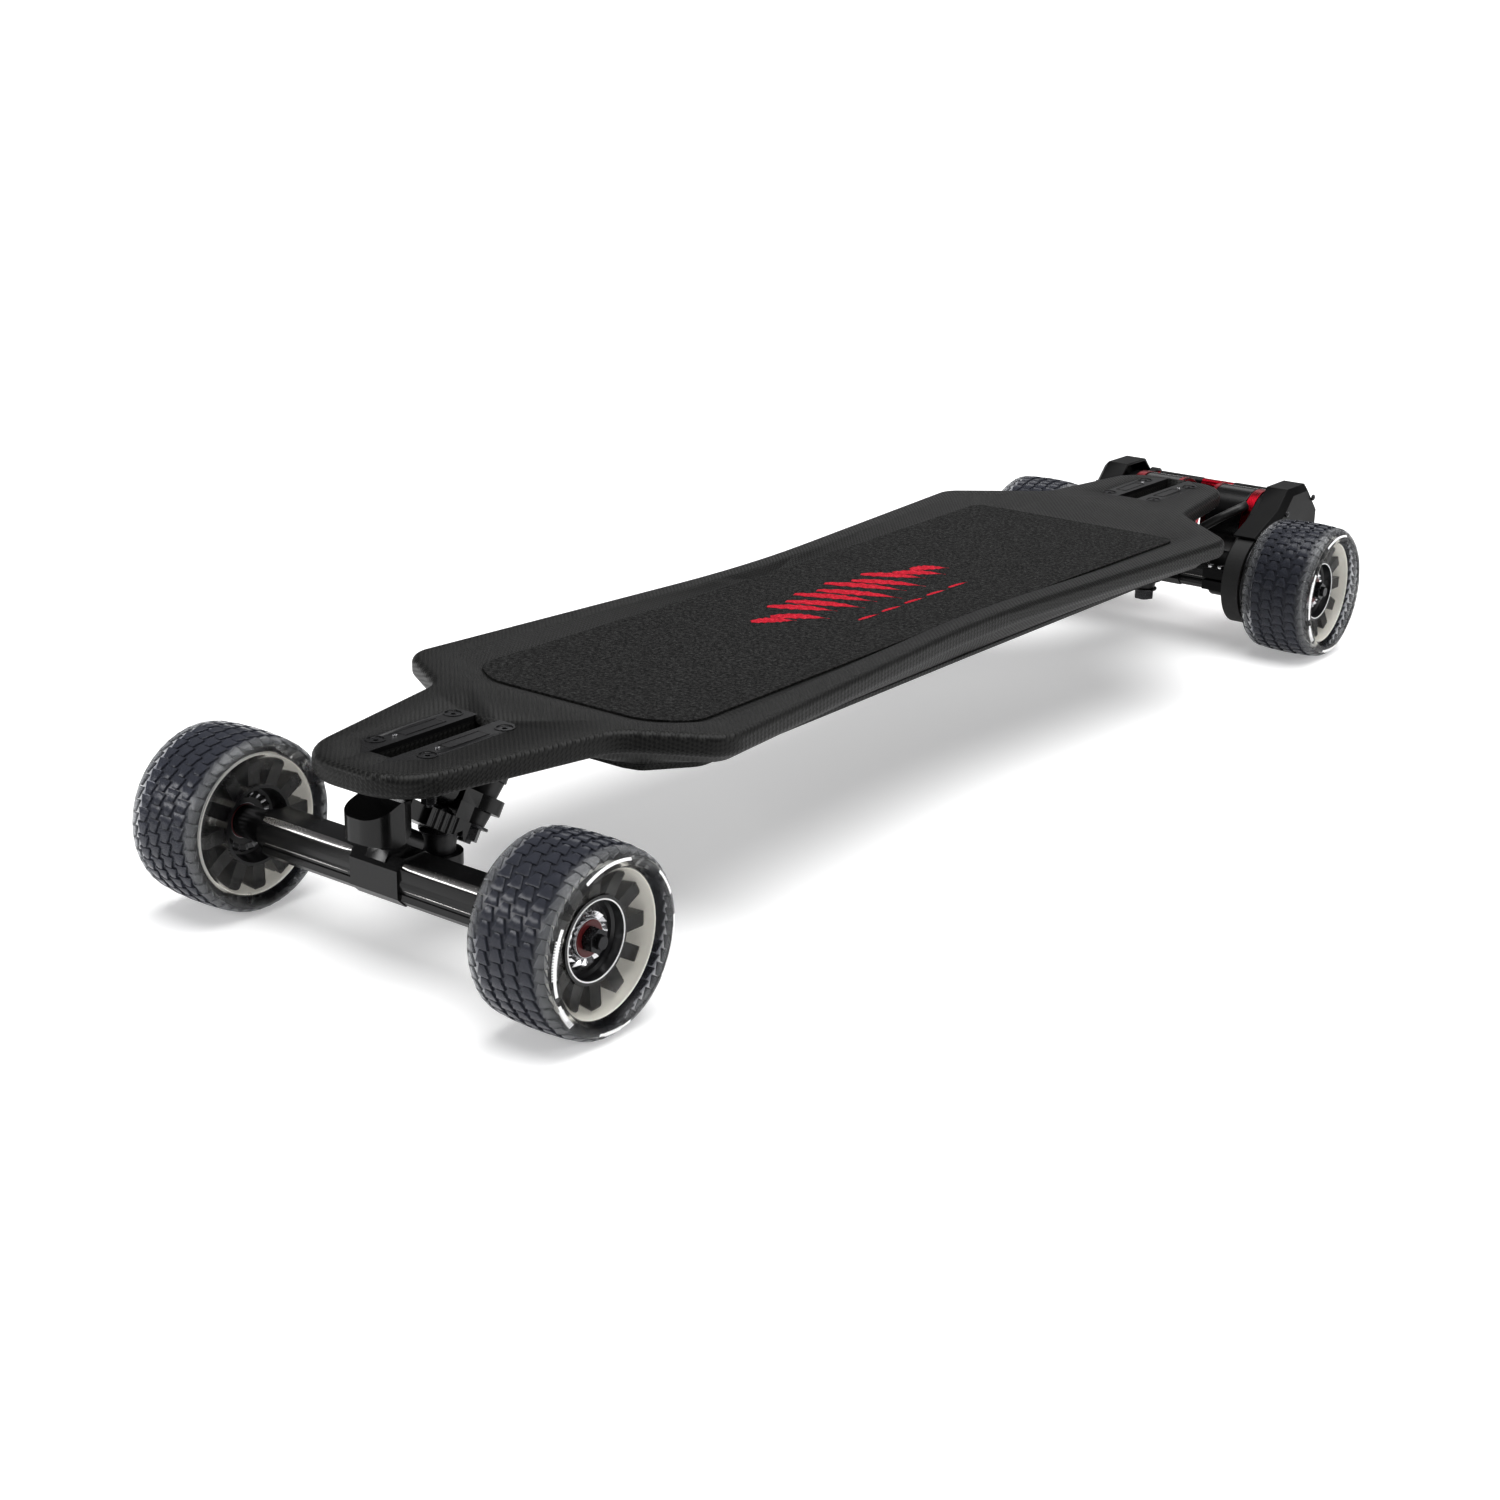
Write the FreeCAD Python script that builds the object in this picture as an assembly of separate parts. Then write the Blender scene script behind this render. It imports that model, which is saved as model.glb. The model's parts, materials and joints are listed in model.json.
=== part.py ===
import FreeCAD, Part
import math
import os
from FreeCAD import Vector

# An electric longboard: a carbon deck with the battery in its belly, two double-kingpin
# trucks, four soft wheels, and a motor with a belt drive on each rear wheel.
# Millimetres, +Z up. +X is the board's left, the nose points along -Y.
# The origin is on the ground, at the middle of the whole object's length and width.

# ---------------------------------------------------------------- driving dimensions
WHEELBASE = 924.0
WHEEL_RADIUS = 55.0
WHEEL_HALF_WIDTH = 31.0
FRONT_HALF_TRACK = 137.0
REAR_HALF_TRACK = 125.0
DRIVE_OVERHANG = 98.5            # rear axle to the back of the belt covers

NOSE_Y = -496.0                  # deck stations, measured from the middle of the wheelbase
TAIL_Y = 476.0
DECK_BOTTOM = 112.0              # underside of the truck platforms
DECK_TOP = 126.5
EDGE_ROUNDING = 5.0
HALF_WIDTH = 131.0
HALF_WAIST = 105.0
WELL_FLOOR = 120.5               # floor of the standing well, under the grip
GRIP_THICKNESS = 1.4
HULL_BOTTOM = 95.5
COVER_THICKNESS = 3.0
GASKET_THICKNESS = 0.5
BAY_HALF_WIDTH = 74.5            # battery bay
BAY_FRONT = -300.0
BAY_BACK = 298.0
BAY_TOP = 117.5

BOLT_HALF_ACROSS = 20.65         # half of the standard 41.3 mm truck bolt spacing
BOLT_NEAR = 10.5                 # bolts, measured from the axle towards the board's middle
BOLT_FAR = 72.8
BOLT_RADIUS = 2.5

AXLE_HEIGHT = WHEEL_RADIUS
AXLE_RADIUS = 4.0
PIVOT_ANGLE = 32.0               # lean of both pivot axes from the horizontal
RING_2 = (38.0, 52.0)            # lower steering ring: distance inboard of the axle, height
KINGPIN_RADIUS = 5.0
PIN_RADIUS = 6.4                 # pivot pins, running in urethane cups
CUP_BORE = 6.45
CUP_RADIUS = 9.0
STEER_1_Y = 13.9                 # upper steering ring in the inclined frame: along, and
STEER_1_Z = 38.2                 # above the lower pivot axis
RING_THICKNESS = 9.0

BEARING_RADIUS = 11.0
BEARING_WIDTH = 7.0
SPACER_HALF = 5.0
CORE_RADIUS = 25.0
RUNNING = 0.05                   # radial running clearance

MOTOR_Y = -57.0                  # motor axis, measured from the rear axle
MOTOR_Z = 87.0
MOTOR_RADIUS = 31.0
MOTOR_INNER_X = 15.0
MOUNT_X0 = 60.0
MOUNT_X1 = 67.0
PULLEY_X0 = 70.0
PULLEY_X1 = 88.0
COVER_X1 = 91.0
MOTOR_TEETH = 16
WHEEL_TEETH = 44
BELT_PITCH = 5.0

CELL_RADIUS = 10.6
CELL_LENGTH = 70.0
CELL_ROWS = 24
CELL_PITCH = 21.6
CELL_FRONT = -296.0

BUTTON_PLACE = (-20.0, 272.0)
BUTTON_RADIUS = 8.0
BUTTON_PROUD = 1.5
PORT_PLACE = (-52.0, 272.0)
PORT_RADIUS = 9.0
PORT_BORE = 2.8

# ---------------------------------------------------------------- derived places
OVERALL = WHEELBASE + WHEEL_RADIUS + DRIVE_OVERHANG
FRONT_AXLE_Y = -WHEELBASE / 2
REAR_AXLE_Y = WHEELBASE / 2
SHIFT_Y = WHEEL_RADIUS - OVERALL / 2 - FRONT_AXLE_Y   # board stations to the row frame
COVER_BOTTOM = HULL_BOTTOM - GASKET_THICKNESS - COVER_THICKNESS

X = Vector(1, 0, 0)
Y = Vector(0, 1, 0)
Z = Vector(0, 0, 1)


# ---------------------------------------------------------------- small helpers
def box(x0, x1, y0, y1, z0, z1):
    return Part.makeBox(x1 - x0, y1 - y0, z1 - z0, Vector(x0, y0, z0))


def rod(start, direction, radius, length):
    return Part.makeCylinder(radius, length, start, direction)


def pipe(start, direction, outer, inner, length):
    return rod(start, direction, outer, length).cut(rod(start, direction, inner, length))


def cone(start, direction, radius_0, radius_1, length):
    return Part.makeCone(radius_0, radius_1, length, start, direction)


def fuse(shapes):
    result = shapes[0]
    for shape in shapes[1:]:
        result = result.fuse(shape)
    return result.removeSplitter()


def group(shapes):
    return Part.makeCompound(shapes)


def mirror_x(shape):
    return shape.mirror(Vector(0, 0, 0), X)


def both_sides(shape):
    return group([shape, mirror_x(shape)])


def rounded_wire(corners, z):
    """A closed wire at height z; each corner is (x, y, radius)."""
    edges = []
    ends = []
    count = len(corners)
    for i in range(count):
        here = Vector(corners[i][0], corners[i][1], z)
        before = Vector(corners[i - 1][0], corners[i - 1][1], z)
        after = Vector(corners[(i + 1) % count][0], corners[(i + 1) % count][1], z)
        to_before = (before - here).normalize()
        to_after = (after - here).normalize()
        half = to_before.getAngle(to_after) / 2
        radius = corners[i][2]
        reach = radius / math.tan(half)
        middle = (to_before + to_after).normalize()
        centre = here + middle * (radius / math.sin(half))
        ends.append((here + to_before * reach, centre - middle * radius, here + to_after * reach))
    for i in range(count):
        edges.append(Part.Arc(*ends[i]).toShape())
        edges.append(Part.LineSegment(ends[i][2], ends[(i + 1) % count][0]).toShape())
    return Part.Wire(edges)


def symmetric(corners):
    """The full outline from the corners of its +X half, listed from nose to tail."""
    return corners + [(-x, y, r) for x, y, r in reversed(corners)]


def plate(corners, z0, z1):
    return Part.Face(rounded_wire(corners, z0)).extrude(Vector(0, 0, z1 - z0))


def loft(corners_0, z0, corners_1, z1):
    return Part.makeLoft([rounded_wire(corners_0, z0), rounded_wire(corners_1, z1)], True, True)


def extruded_profile(points, half_width):
    """A side profile of (y, z) points, extruded across the board."""
    outline = Part.makePolygon([Vector(-half_width, y, z) for y, z in points + points[:1]])
    return Part.Face(outline).extrude(Vector(2 * half_width, 0, 0))


def two_circle_face(x, centre_0, radius_0, centre_1, radius_1):
    """The hull of two circles, in the plane at x; centres are (y, z)."""
    dy = centre_1[0] - centre_0[0]
    dz = centre_1[1] - centre_0[1]
    heading = math.atan2(dz, dy)
    spread = math.acos((radius_0 - radius_1) / math.hypot(dy, dz))

    def on_circle(centre, radius, angle):
        return Vector(x, centre[0] + radius * math.cos(angle), centre[1] + radius * math.sin(angle))

    a0 = on_circle(centre_0, radius_0, heading + spread)
    a1 = on_circle(centre_1, radius_1, heading + spread)
    b0 = on_circle(centre_0, radius_0, heading - spread)
    b1 = on_circle(centre_1, radius_1, heading - spread)
    far_0 = on_circle(centre_0, radius_0, heading + math.pi)
    far_1 = on_circle(centre_1, radius_1, heading)
    edges = [
        Part.LineSegment(a0, a1).toShape(),
        Part.Arc(a1, far_1, b1).toShape(),
        Part.LineSegment(b1, b0).toShape(),
        Part.Arc(b0, far_0, a0).toShape(),
    ]
    return Part.Face(Part.Wire(edges))


def two_circle_plate(x0, x1, centre_0, radius_0, centre_1, radius_1):
    return two_circle_face(x0, centre_0, radius_0, centre_1, radius_1).extrude(Vector(x1 - x0, 0, 0))


def revolve_x(points):
    """A profile of (x, radius) points, turned about the X axis."""
    outline = Part.makePolygon([Vector(x, 0, r) for x, r in points + points[:1]])
    return Part.Face(outline).revolve(Vector(0, 0, 0), X, 360)


def hexagon_prism(start, direction, across_flats, length):
    radius = across_flats / math.sqrt(3)
    corners = []
    for i in range(7):
        angle = math.radians(60 * i)
        corners.append(Vector(radius * math.cos(angle), radius * math.sin(angle), 0))
    prism = Part.Face(Part.makePolygon(corners)).extrude(Vector(0, 0, length))
    prism.Placement = FreeCAD.Placement(start, FreeCAD.Rotation(Z, direction))
    return prism


def cable(points, radius):
    """A round cable along a route of straight runs joined by tangent arcs."""
    route = [Vector(*point) for point in points]
    edges = []
    last = route[0]
    for i in range(1, len(route) - 1):
        to_before = route[i - 1] - route[i]
        to_after = route[i + 1] - route[i]
        reach = 0.45 * min(to_before.Length, to_after.Length)
        to_before.normalize()
        to_after.normalize()
        half_turn = (math.pi - to_before.getAngle(to_after)) / 2
        bend = reach / math.tan(half_turn)
        middle = (to_before + to_after).normalize()
        centre = route[i] + middle * (bend / math.cos(half_turn))
        start = route[i] + to_before * reach
        end = route[i] + to_after * reach
        print("cable bend radius", round(bend, 1))
        edges.append(Part.LineSegment(last, start).toShape())
        edges.append(Part.Arc(start, centre - middle * bend, end).toShape())
        last = end
    edges.append(Part.LineSegment(last, route[-1]).toShape())
    path = Part.Wire(edges)
    circle = Part.Wire(Part.makeCircle(radius, route[0], route[1] - route[0]))
    solid = path.makePipeShell([circle], True, True)
    print("cable volume ratio", round(solid.Volume / (math.pi * radius ** 2 * path.Length), 3))
    return solid


# ---------------------------------------------------------------- frames
def inclined(shape):
    """From the inclined frame, whose Y runs down the lower pivot axis, to the truck frame."""
    turn = FreeCAD.Rotation(X, -PIVOT_ANGLE)
    placed = shape.copy()
    placed.Placement = FreeCAD.Placement(Vector(0, RING_2[0], RING_2[1]), turn).multiply(shape.Placement)
    return placed


def at_front(shape):
    """From the truck frame, whose Y is the distance inboard of the axle, to the board."""
    placed = shape.copy()
    placed.translate(Vector(0, FRONT_AXLE_Y, 0))
    return placed


def at_rear(shape):
    placed = shape.copy()
    placed.rotate(Vector(0, 0, 0), Z, 180)
    placed.translate(Vector(0, REAR_AXLE_Y, 0))
    return placed


def on_axle(shape, x, axle_y):
    """From a frame about the X axis to a wheel's place; the shape's +X faces outwards."""
    placed = shape.copy()
    if x < 0:
        placed.rotate(Vector(0, 0, 0), Z, 180)
    placed.translate(Vector(x, axle_y, AXLE_HEIGHT))
    return placed


# ---------------------------------------------------------------- deck
DECK_OUTLINE = symmetric([
    (42.0, NOSE_Y, 40.0),
    (73.0, -352.0, 26.0),
    (HALF_WIDTH, -318.0, 22.0),
    (HALF_WAIST - 0.5, 0.0, 900.0),
    (HALF_WIDTH, 305.0, 22.0),
    (64.0, 362.0, 26.0),
    (46.0, TAIL_Y, 34.0),
])
BAND_TOP = symmetric([
    (60.0, -361.0, 8.0),
    (68.0, -346.0, 10.0),
    (124.0, -315.0, 18.0),
    (98.0, 0.0, 900.0),
    (124.0, 302.0, 18.0),
    (66.0, 346.0, 10.0),
    (60.0, 361.0, 8.0),
])
BAND_BOTTOM = symmetric([
    (56.0, -347.0, 8.0),
    (66.0, -333.0, 10.0),
    (114.0, -308.0, 18.0),
    (92.0, 0.0, 900.0),
    (114.0, 295.0, 18.0),
    (64.0, 334.0, 10.0),
    (56.0, 347.0, 8.0),
])
HULL_FOOT = symmetric([
    (54.0, -324.0, 10.0),
    (66.0, -321.0, 10.0),
    (88.5, -292.0, 18.0),
    (87.5, 0.0, 900.0),
    (88.5, 282.0, 18.0),
    (64.0, 317.0, 10.0),
    (54.0, 320.0, 10.0),
])
WELL_TOP = symmetric([
    (76.0, -333.0, 30.0),
    (108.0, -300.0, 24.0),
    (91.0, 0.0, 900.0),
    (112.0, 300.0, 24.0),
    (60.0, 344.0, 30.0),
])
WELL_BOTTOM = symmetric([
    (62.0, -316.0, 40.0),
    (90.0, -298.0, 22.0),
    (87.0, 0.0, 900.0),
    (93.0, 296.0, 12.0),
    (60.0, 297.5, 60.0),
])
PLATE_RECESS_FRONT = -11.0       # recess for the washer plates, from the axle inwards
PLATE_RECESS_BACK = 81.5
PLATE_HALF_WIDTH = 26.5
PLATE_SLOT_HALF = 8.5
PLATE_THICKNESS = 3.0
SLOT_FRONT = -6.0
SLOT_BACK = 78.5


def deck_slab():
    slab = plate(DECK_OUTLINE, DECK_BOTTOM, DECK_TOP)
    rims = [edge for edge in slab.Edges if edge.BoundBox.ZLength < 0.01]
    return slab.makeFillet(EDGE_ROUNDING, rims)


def plate_bar_outline(sign):
    inner, outer = PLATE_SLOT_HALF, PLATE_HALF_WIDTH
    front, back = PLATE_RECESS_FRONT, PLATE_RECESS_BACK
    points = [(inner, front), (inner + 2, front), (outer, front + 16), (outer, back - 6),
              (outer - 6, back), (inner, back)]
    return [Vector(sign * x, y, 0) for x, y in points]


def recess():
    """The pocket for both washer plates and the open slot between them, in the truck frame."""
    tools = [box(-PLATE_SLOT_HALF, PLATE_SLOT_HALF, SLOT_FRONT, SLOT_BACK, DECK_BOTTOM - 1, DECK_TOP + 1)]
    for sign in (1, -1):
        points = plate_bar_outline(sign)
        face = Part.Face(Part.makePolygon(points + points[:1]))
        pocket = face.extrude(Vector(0, 0, PLATE_THICKNESS + 1))
        pocket.translate(Vector(0, 0, DECK_TOP - PLATE_THICKNESS))
        tools.append(pocket)
    for x in (BOLT_HALF_ACROSS, -BOLT_HALF_ACROSS):
        for y in (BOLT_NEAR, BOLT_FAR):
            tools.append(rod(Vector(x, y, DECK_BOTTOM - 20), Z, BOLT_RADIUS, 60))
    return group(tools)


def cut_each(shape, tools):
    for tool in tools.SubShapes:
        shape = shape.cut(tool)
    return shape


def screw_places():
    places = []
    for i in range(6):
        y = -270.0 + 107.0 * i
        places += [(81.0, y), (-81.0, y)]
    return places + [(40.0, -311.0), (-40.0, -311.0), (40.0, 308.5), (-40.0, 308.5)]


def gland_place(side):
    return Vector(side * 42.0, 322.0, 103.0)


def deck_shell():
    shell = deck_slab()
    shell = shell.fuse(loft(BAND_TOP, DECK_BOTTOM + 2, BAND_BOTTOM, 104.0))
    shell = shell.fuse(loft(BAND_BOTTOM, 104.0, HULL_FOOT, HULL_BOTTOM))
    shell = shell.cut(loft(WELL_BOTTOM, WELL_FLOOR, WELL_TOP, DECK_TOP + 0.01))
    shell = shell.cut(plate(WELL_TOP, DECK_TOP, DECK_TOP + 10))
    shell = shell.cut(box(-BAY_HALF_WIDTH, BAY_HALF_WIDTH, BAY_FRONT, BAY_BACK, HULL_BOTTOM - 1, BAY_TOP))
    for place in (at_front, at_rear):
        shell = cut_each(shell, place(recess()))
    for x, y in screw_places():
        shell = shell.cut(rod(Vector(x, y, HULL_BOTTOM - 1), Z, 2.0, 10.0))
    for side in (1, -1):
        shell = shell.cut(rod(gland_place(side) - Y * 40, Y, 5.0, 60))
        shell = shell.cut(rod(gland_place(side), Y, 8.0, 60))
    return shell.removeSplitter()


def washer_plates():
    bars = []
    for place in (at_front, at_rear):
        for sign in (1, -1):
            points = plate_bar_outline(sign)
            inset = Part.Face(Part.makePolygon(points + points[:1])).makeOffset2D(-0.15)
            bar = inset.extrude(Vector(0, 0, PLATE_THICKNESS))
            bar.translate(Vector(0, 0, DECK_TOP - PLATE_THICKNESS))
            for y in (BOLT_NEAR, BOLT_FAR):
                centre = Vector(sign * BOLT_HALF_ACROSS, y, DECK_TOP - 6)
                bar = bar.cut(rod(centre, Z, BOLT_RADIUS, 10))
                bar = bar.cut(cone(centre + Z * 3.2, Z, BOLT_RADIUS, 5.3, 2.81))
            bar = bar.cut(rod(Vector(sign * 17.0, BOLT_NEAR + 11.5, DECK_TOP - 5), Z, 1.6, 8))
            bars.append(place(bar))
    return group(bars)


def truck_bolts():
    pieces = []
    for place in (at_front, at_rear):
        for x in (BOLT_HALF_ACROSS, -BOLT_HALF_ACROSS):
            for y in (BOLT_NEAR, BOLT_FAR):
                base = Vector(x, y, BASE_BOTTOM - 7)
                bolt = rod(base, Z, BOLT_RADIUS, DECK_TOP - 2.8 - base.z)
                head = cone(Vector(x, y, DECK_TOP - 2.8), Z, BOLT_RADIUS, 4.9, 2.5)
                socket = hexagon_prism(Vector(x, y, DECK_TOP - 2.4), Z, 3.0, 5)
                nut = hexagon_prism(Vector(x, y, BASE_BOTTOM - 5), Z, 8.0, 5)
                nut = nut.cut(rod(base, Z, BOLT_RADIUS, 30))
                pieces += [place(bolt.fuse(head).cut(socket)), place(nut)]
    return group(pieces)


GRIP_OUTLINE = symmetric([
    (61.0, -315.0, 40.0),
    (88.5, -297.0, 21.0),
    (85.5, 0.0, 900.0),
    (91.5, 294.5, 11.0),
    (60.0, 296.0, 60.0),
])


def grip_tape():
    return plate(GRIP_OUTLINE, WELL_FLOOR, WELL_FLOOR + GRIP_THICKNESS)


def cover_plate(z0, z1):
    sheet = plate(HULL_FOOT, z0, z1)
    for x, y in screw_places():
        sheet = sheet.cut(rod(Vector(x, y, z0 - 1), Z, 2.1, 10.0))
    return sheet


def bottom_cover():
    cover = cover_plate(COVER_BOTTOM, COVER_BOTTOM + COVER_THICKNESS)
    for x, y in screw_places():
        cover = cover.cut(cone(Vector(x, y, COVER_BOTTOM - 0.01), Z, 4.0, 2.1, 2.0))
    cover = cover.cut(rod(Vector(*BUTTON_PLACE, COVER_BOTTOM - 1), Z, BUTTON_RADIUS + RUNNING, 6))
    return cover.cut(rod(Vector(*PORT_PLACE, COVER_BOTTOM - 1), Z, PORT_RADIUS, 6))


def cover_gasket():
    sheet = cover_plate(COVER_BOTTOM + COVER_THICKNESS, HULL_BOTTOM)
    half = BAY_HALF_WIDTH
    return sheet.cut(box(-half, half, BAY_FRONT, BAY_BACK, COVER_BOTTOM, HULL_BOTTOM + 1))


def cover_screws():
    screws = []
    for x, y in screw_places():
        head = cone(Vector(x, y, COVER_BOTTOM + 0.15), Z, 3.8, 2.0, 1.8)
        shank = rod(Vector(x, y, COVER_BOTTOM + 2), Z, 2.0, 10.0)
        screws.append(head.fuse(shank).cut(hexagon_prism(Vector(x, y, COVER_BOTTOM), Z, 2.5, 1.6)))
    return group(screws)


# ---------------------------------------------------------------- inside the bay
def battery_cells():
    cells = []
    middle = (COVER_BOTTOM + COVER_THICKNESS + BAY_TOP) / 2
    for row in range(CELL_ROWS):
        y = CELL_FRONT + CELL_RADIUS + CELL_PITCH * row
        cells.append(rod(Vector(1.2, y, middle), X, CELL_RADIUS, CELL_LENGTH))
        cells.append(rod(Vector(-1.2, y, middle), -X, CELL_RADIUS, CELL_LENGTH))
    return group(cells)


def cell_back():
    return CELL_FRONT + CELL_PITCH * CELL_ROWS


def cell_holders():
    z0, z1 = COVER_BOTTOM + COVER_THICKNESS + 0.6, BAY_TOP - 0.6
    strips = []
    for x in (-72.6, 0.0, 72.6):
        strips.append(box(x - 1.0, x + 1.0, CELL_FRONT - 1, cell_back() + 1, z0, z1))
    return group(strips)


def management_board():
    board = box(-68, -8, 232, 294, 111.5, 113.1)
    chips = [box(-60 + 14 * i, -52 + 14 * i, 240, 250, 113.1, 115.0) for i in range(4)]
    return fuse([board] + chips)


def motor_controller():
    case = box(2, 70, 246, 294, 96.5, 114.5)
    fins = [box(2, 70, 250 + 8 * i, 253 + 8 * i, 114.5, 116.5) for i in range(6)]
    return fuse([case] + fins)


def battery_leads():
    length = 246 - (cell_back() + 1)
    return group([rod(Vector(x, cell_back() + 1, 104.0), Y, 2.6, length) for x in (22.0, 34.0)])


def power_button():
    base = Vector(*BUTTON_PLACE, COVER_BOTTOM - BUTTON_PROUD)
    button = rod(base, Z, BUTTON_RADIUS, 7.0)
    return button.makeFillet(0.6, [button.Edges[2]])


def charge_port():
    base = Vector(*PORT_PLACE, COVER_BOTTOM)
    body = rod(base, Z, PORT_RADIUS, 16.0)
    return body.cut(rod(base - Z, Z, PORT_BORE, 12.0))


def port_cap():
    """A rubber flap below the port, with its hinge tab to one side."""
    base = Vector(*PORT_PLACE, COVER_BOTTOM - 2.3)
    flap = rod(base, Z, PORT_RADIUS + 1.5, 2.0)
    tab = box(base.x + 7, base.x + 14.5, base.y - 4, base.y + 4, base.z, base.z + 2.0)
    return flap.fuse(tab).removeSplitter()


def cable_glands():
    glands = []
    for side in (1, -1):
        start = gland_place(side)
        glands.append(pipe(start, Y, 8.0, 4.0, 29.0))
    return group(glands)


# ---------------------------------------------------------------- trucks
BASE_BOTTOM = 103.0
SEAT_1 = 15.0                    # top of the upper bushing, along the first kingpin
CUP_1_START = 16.0               # first pivot cup boss, along the pivot axis
YOKE_LOW = 13.0                  # yoke slab, above the lower pivot axis
YOKE_HIGH = 24.0
YOKE_HALF = 14.0
YOKE_SHOULDER = 36.0             # where the slab narrows, to pass between the truck nuts
YOKE_NECK_HALF = 10.5
YOKE_REACH = 50.0
SEAT_2 = 70.0                    # height of the second kingpin's upper seat
RING_2_LOW = 48.0
RING_2_HIGH = 56.0


def steer_1(z):
    return Vector(0, STEER_1_Y, STEER_1_Z + z)


def baseplate():
    corners = [(27.0, 1.0, 9.0), (27.0, 84.0, 6.0), (16.0, 99.0, 8.0), (-16.0, 99.0, 8.0),
               (-27.0, 84.0, 6.0), (-27.0, 1.0, 9.0)]
    body = plate(corners, BASE_BOTTOM, DECK_BOTTOM)
    body = body.fuse(inclined(rod(steer_1(SEAT_1), Z, 12.5, 26.0)))
    cup_boss = rod(Vector(0, -CUP_1_START, STEER_1_Z), -Y, 11.0, 24.0)
    body = body.fuse(inclined(cup_boss))
    body = body.cut(box(-60, 60, -60, 160, DECK_BOTTOM, DECK_BOTTOM + 60))
    body = body.cut(inclined(rod(Vector(0, -CUP_1_START + 1, STEER_1_Z), -Y, CUP_RADIUS, 18.0)))
    body = body.cut(inclined(rod(steer_1(0), Z, KINGPIN_RADIUS, 34.0)))
    for x in (BOLT_HALF_ACROSS, -BOLT_HALF_ACROSS):
        for y in (BOLT_NEAR, BOLT_FAR):
            body = body.cut(rod(Vector(x, y, 80), Z, BOLT_RADIUS, 60))
    return body.removeSplitter()


def kingpin_set_1():
    pin = rod(steer_1(-25.0), Z, KINGPIN_RADIUS, 59.0)
    low_washer = pipe(steer_1(-15.0), Z, 12.0, KINGPIN_RADIUS, 1.6)
    nut = hexagon_prism(steer_1(-23.0), Z, 15.0, 8.0).cut(rod(steer_1(-30), Z, KINGPIN_RADIUS, 60))
    return [inclined(pin), inclined(low_washer), inclined(nut)]


def bushings_1():
    half = RING_THICKNESS / 2
    upper = cone(steer_1(half), Z, 10.0, 11.5, SEAT_1 - half).cut(rod(steer_1(0), Z, KINGPIN_RADIUS, 40))
    lower = cone(steer_1(-13.4), Z, 9.0, 10.5, 13.4 - half).cut(rod(steer_1(-20), Z, KINGPIN_RADIUS, 40))
    return group([inclined(upper), inclined(lower)])


def cup(start, depth):
    """A urethane pivot cup with its mouth at start, running up the pivot axis."""
    shell = rod(start, -Y, CUP_RADIUS, depth)
    return shell.cut(rod(start + Y, -Y, CUP_BORE, depth - 1.5))


def pivot_cup_1():
    return inclined(cup(Vector(0, -CUP_1_START + 1, STEER_1_Z), 18.0))


def yoke():
    ring = rod(steer_1(-RING_THICKNESS / 2), Z, 15.5, RING_THICKNESS)
    arm = box(-11.5, 11.5, -12, 6, STEER_1_Z - 4.5, STEER_1_Z + 4.5)
    pin = rod(Vector(0, -11, STEER_1_Z), -Y, PIN_RADIUS, 19.0)
    slab = box(-YOKE_HALF, YOKE_HALF, -YOKE_SHOULDER, 0, YOKE_LOW, YOKE_HIGH)
    neck = box(-YOKE_NECK_HALF, YOKE_NECK_HALF, -YOKE_REACH, 0, YOKE_LOW, YOKE_HIGH)
    post = box(-12, 12, -13, 0, YOKE_HIGH - 1, STEER_1_Z - 4)
    body = fuse([ring, arm, pin, slab, neck, post])
    for i in range(4):
        for sign in (1, -1):
            groove = Vector(sign * (YOKE_HALF + 1.2), 6.0 * i - 31.0, YOKE_LOW - 1)
            body = body.cut(rod(groove, Z, 2.2, 14))
    body = inclined(body)
    body = body.cut(rod(Vector(0, RING_2[0], 30), Z, 15.0, SEAT_2 - 30))
    body = body.fuse(rod(Vector(0, RING_2[0], SEAT_2), Z, 12.0, 9.0))
    block_corners = [(16, -27, 13), (16, -4, 3), (10.5, 7, 3), (-10.5, 7, 3), (-16, -4, 3), (-16, -27, 13)]
    block = plate(block_corners, 68, 104)
    wedge = extruded_profile([(-28, 80.0), (-28, 94.2), (-6, 101.5), (2, 99.5), (10, 97), (10, 80),
                              (-8, 75.5)], 30)
    body = body.fuse(block.common(wedge))
    body = body.cut(inclined(rod(Vector(0, 10, 0), -Y, 12.6, 62.0)))
    body = body.cut(inclined(rod(Vector(0, -50, 0), -Y, CUP_RADIUS, 18.0)))
    body = body.cut(inclined(rod(steer_1(-10), Z, 8.0, 20.0)))
    body = body.cut(rod(Vector(0, RING_2[0], 30), Z, KINGPIN_RADIUS, 53.0))
    return body.removeSplitter()


def pivot_cup_2():
    return inclined(cup(Vector(0, -52, 0), 16.0))


def kingpin_set_2():
    centre_y = RING_2[0]
    pin = rod(Vector(0, centre_y, 31.0), Z, KINGPIN_RADIUS, 52.0)
    upper = pipe(Vector(0, centre_y, SEAT_2 - 1.5), Z, 11.5, KINGPIN_RADIUS, 1.5)
    lower = pipe(Vector(0, centre_y, 39.5), Z, 10.5, KINGPIN_RADIUS, 1.5)
    nut = hexagon_prism(Vector(0, centre_y, 32.0), Z, 15.0, 7.5)
    nut = nut.cut(rod(Vector(0, centre_y, 20), Z, KINGPIN_RADIUS, 60))
    return group([pin, upper, lower, nut])


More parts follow.
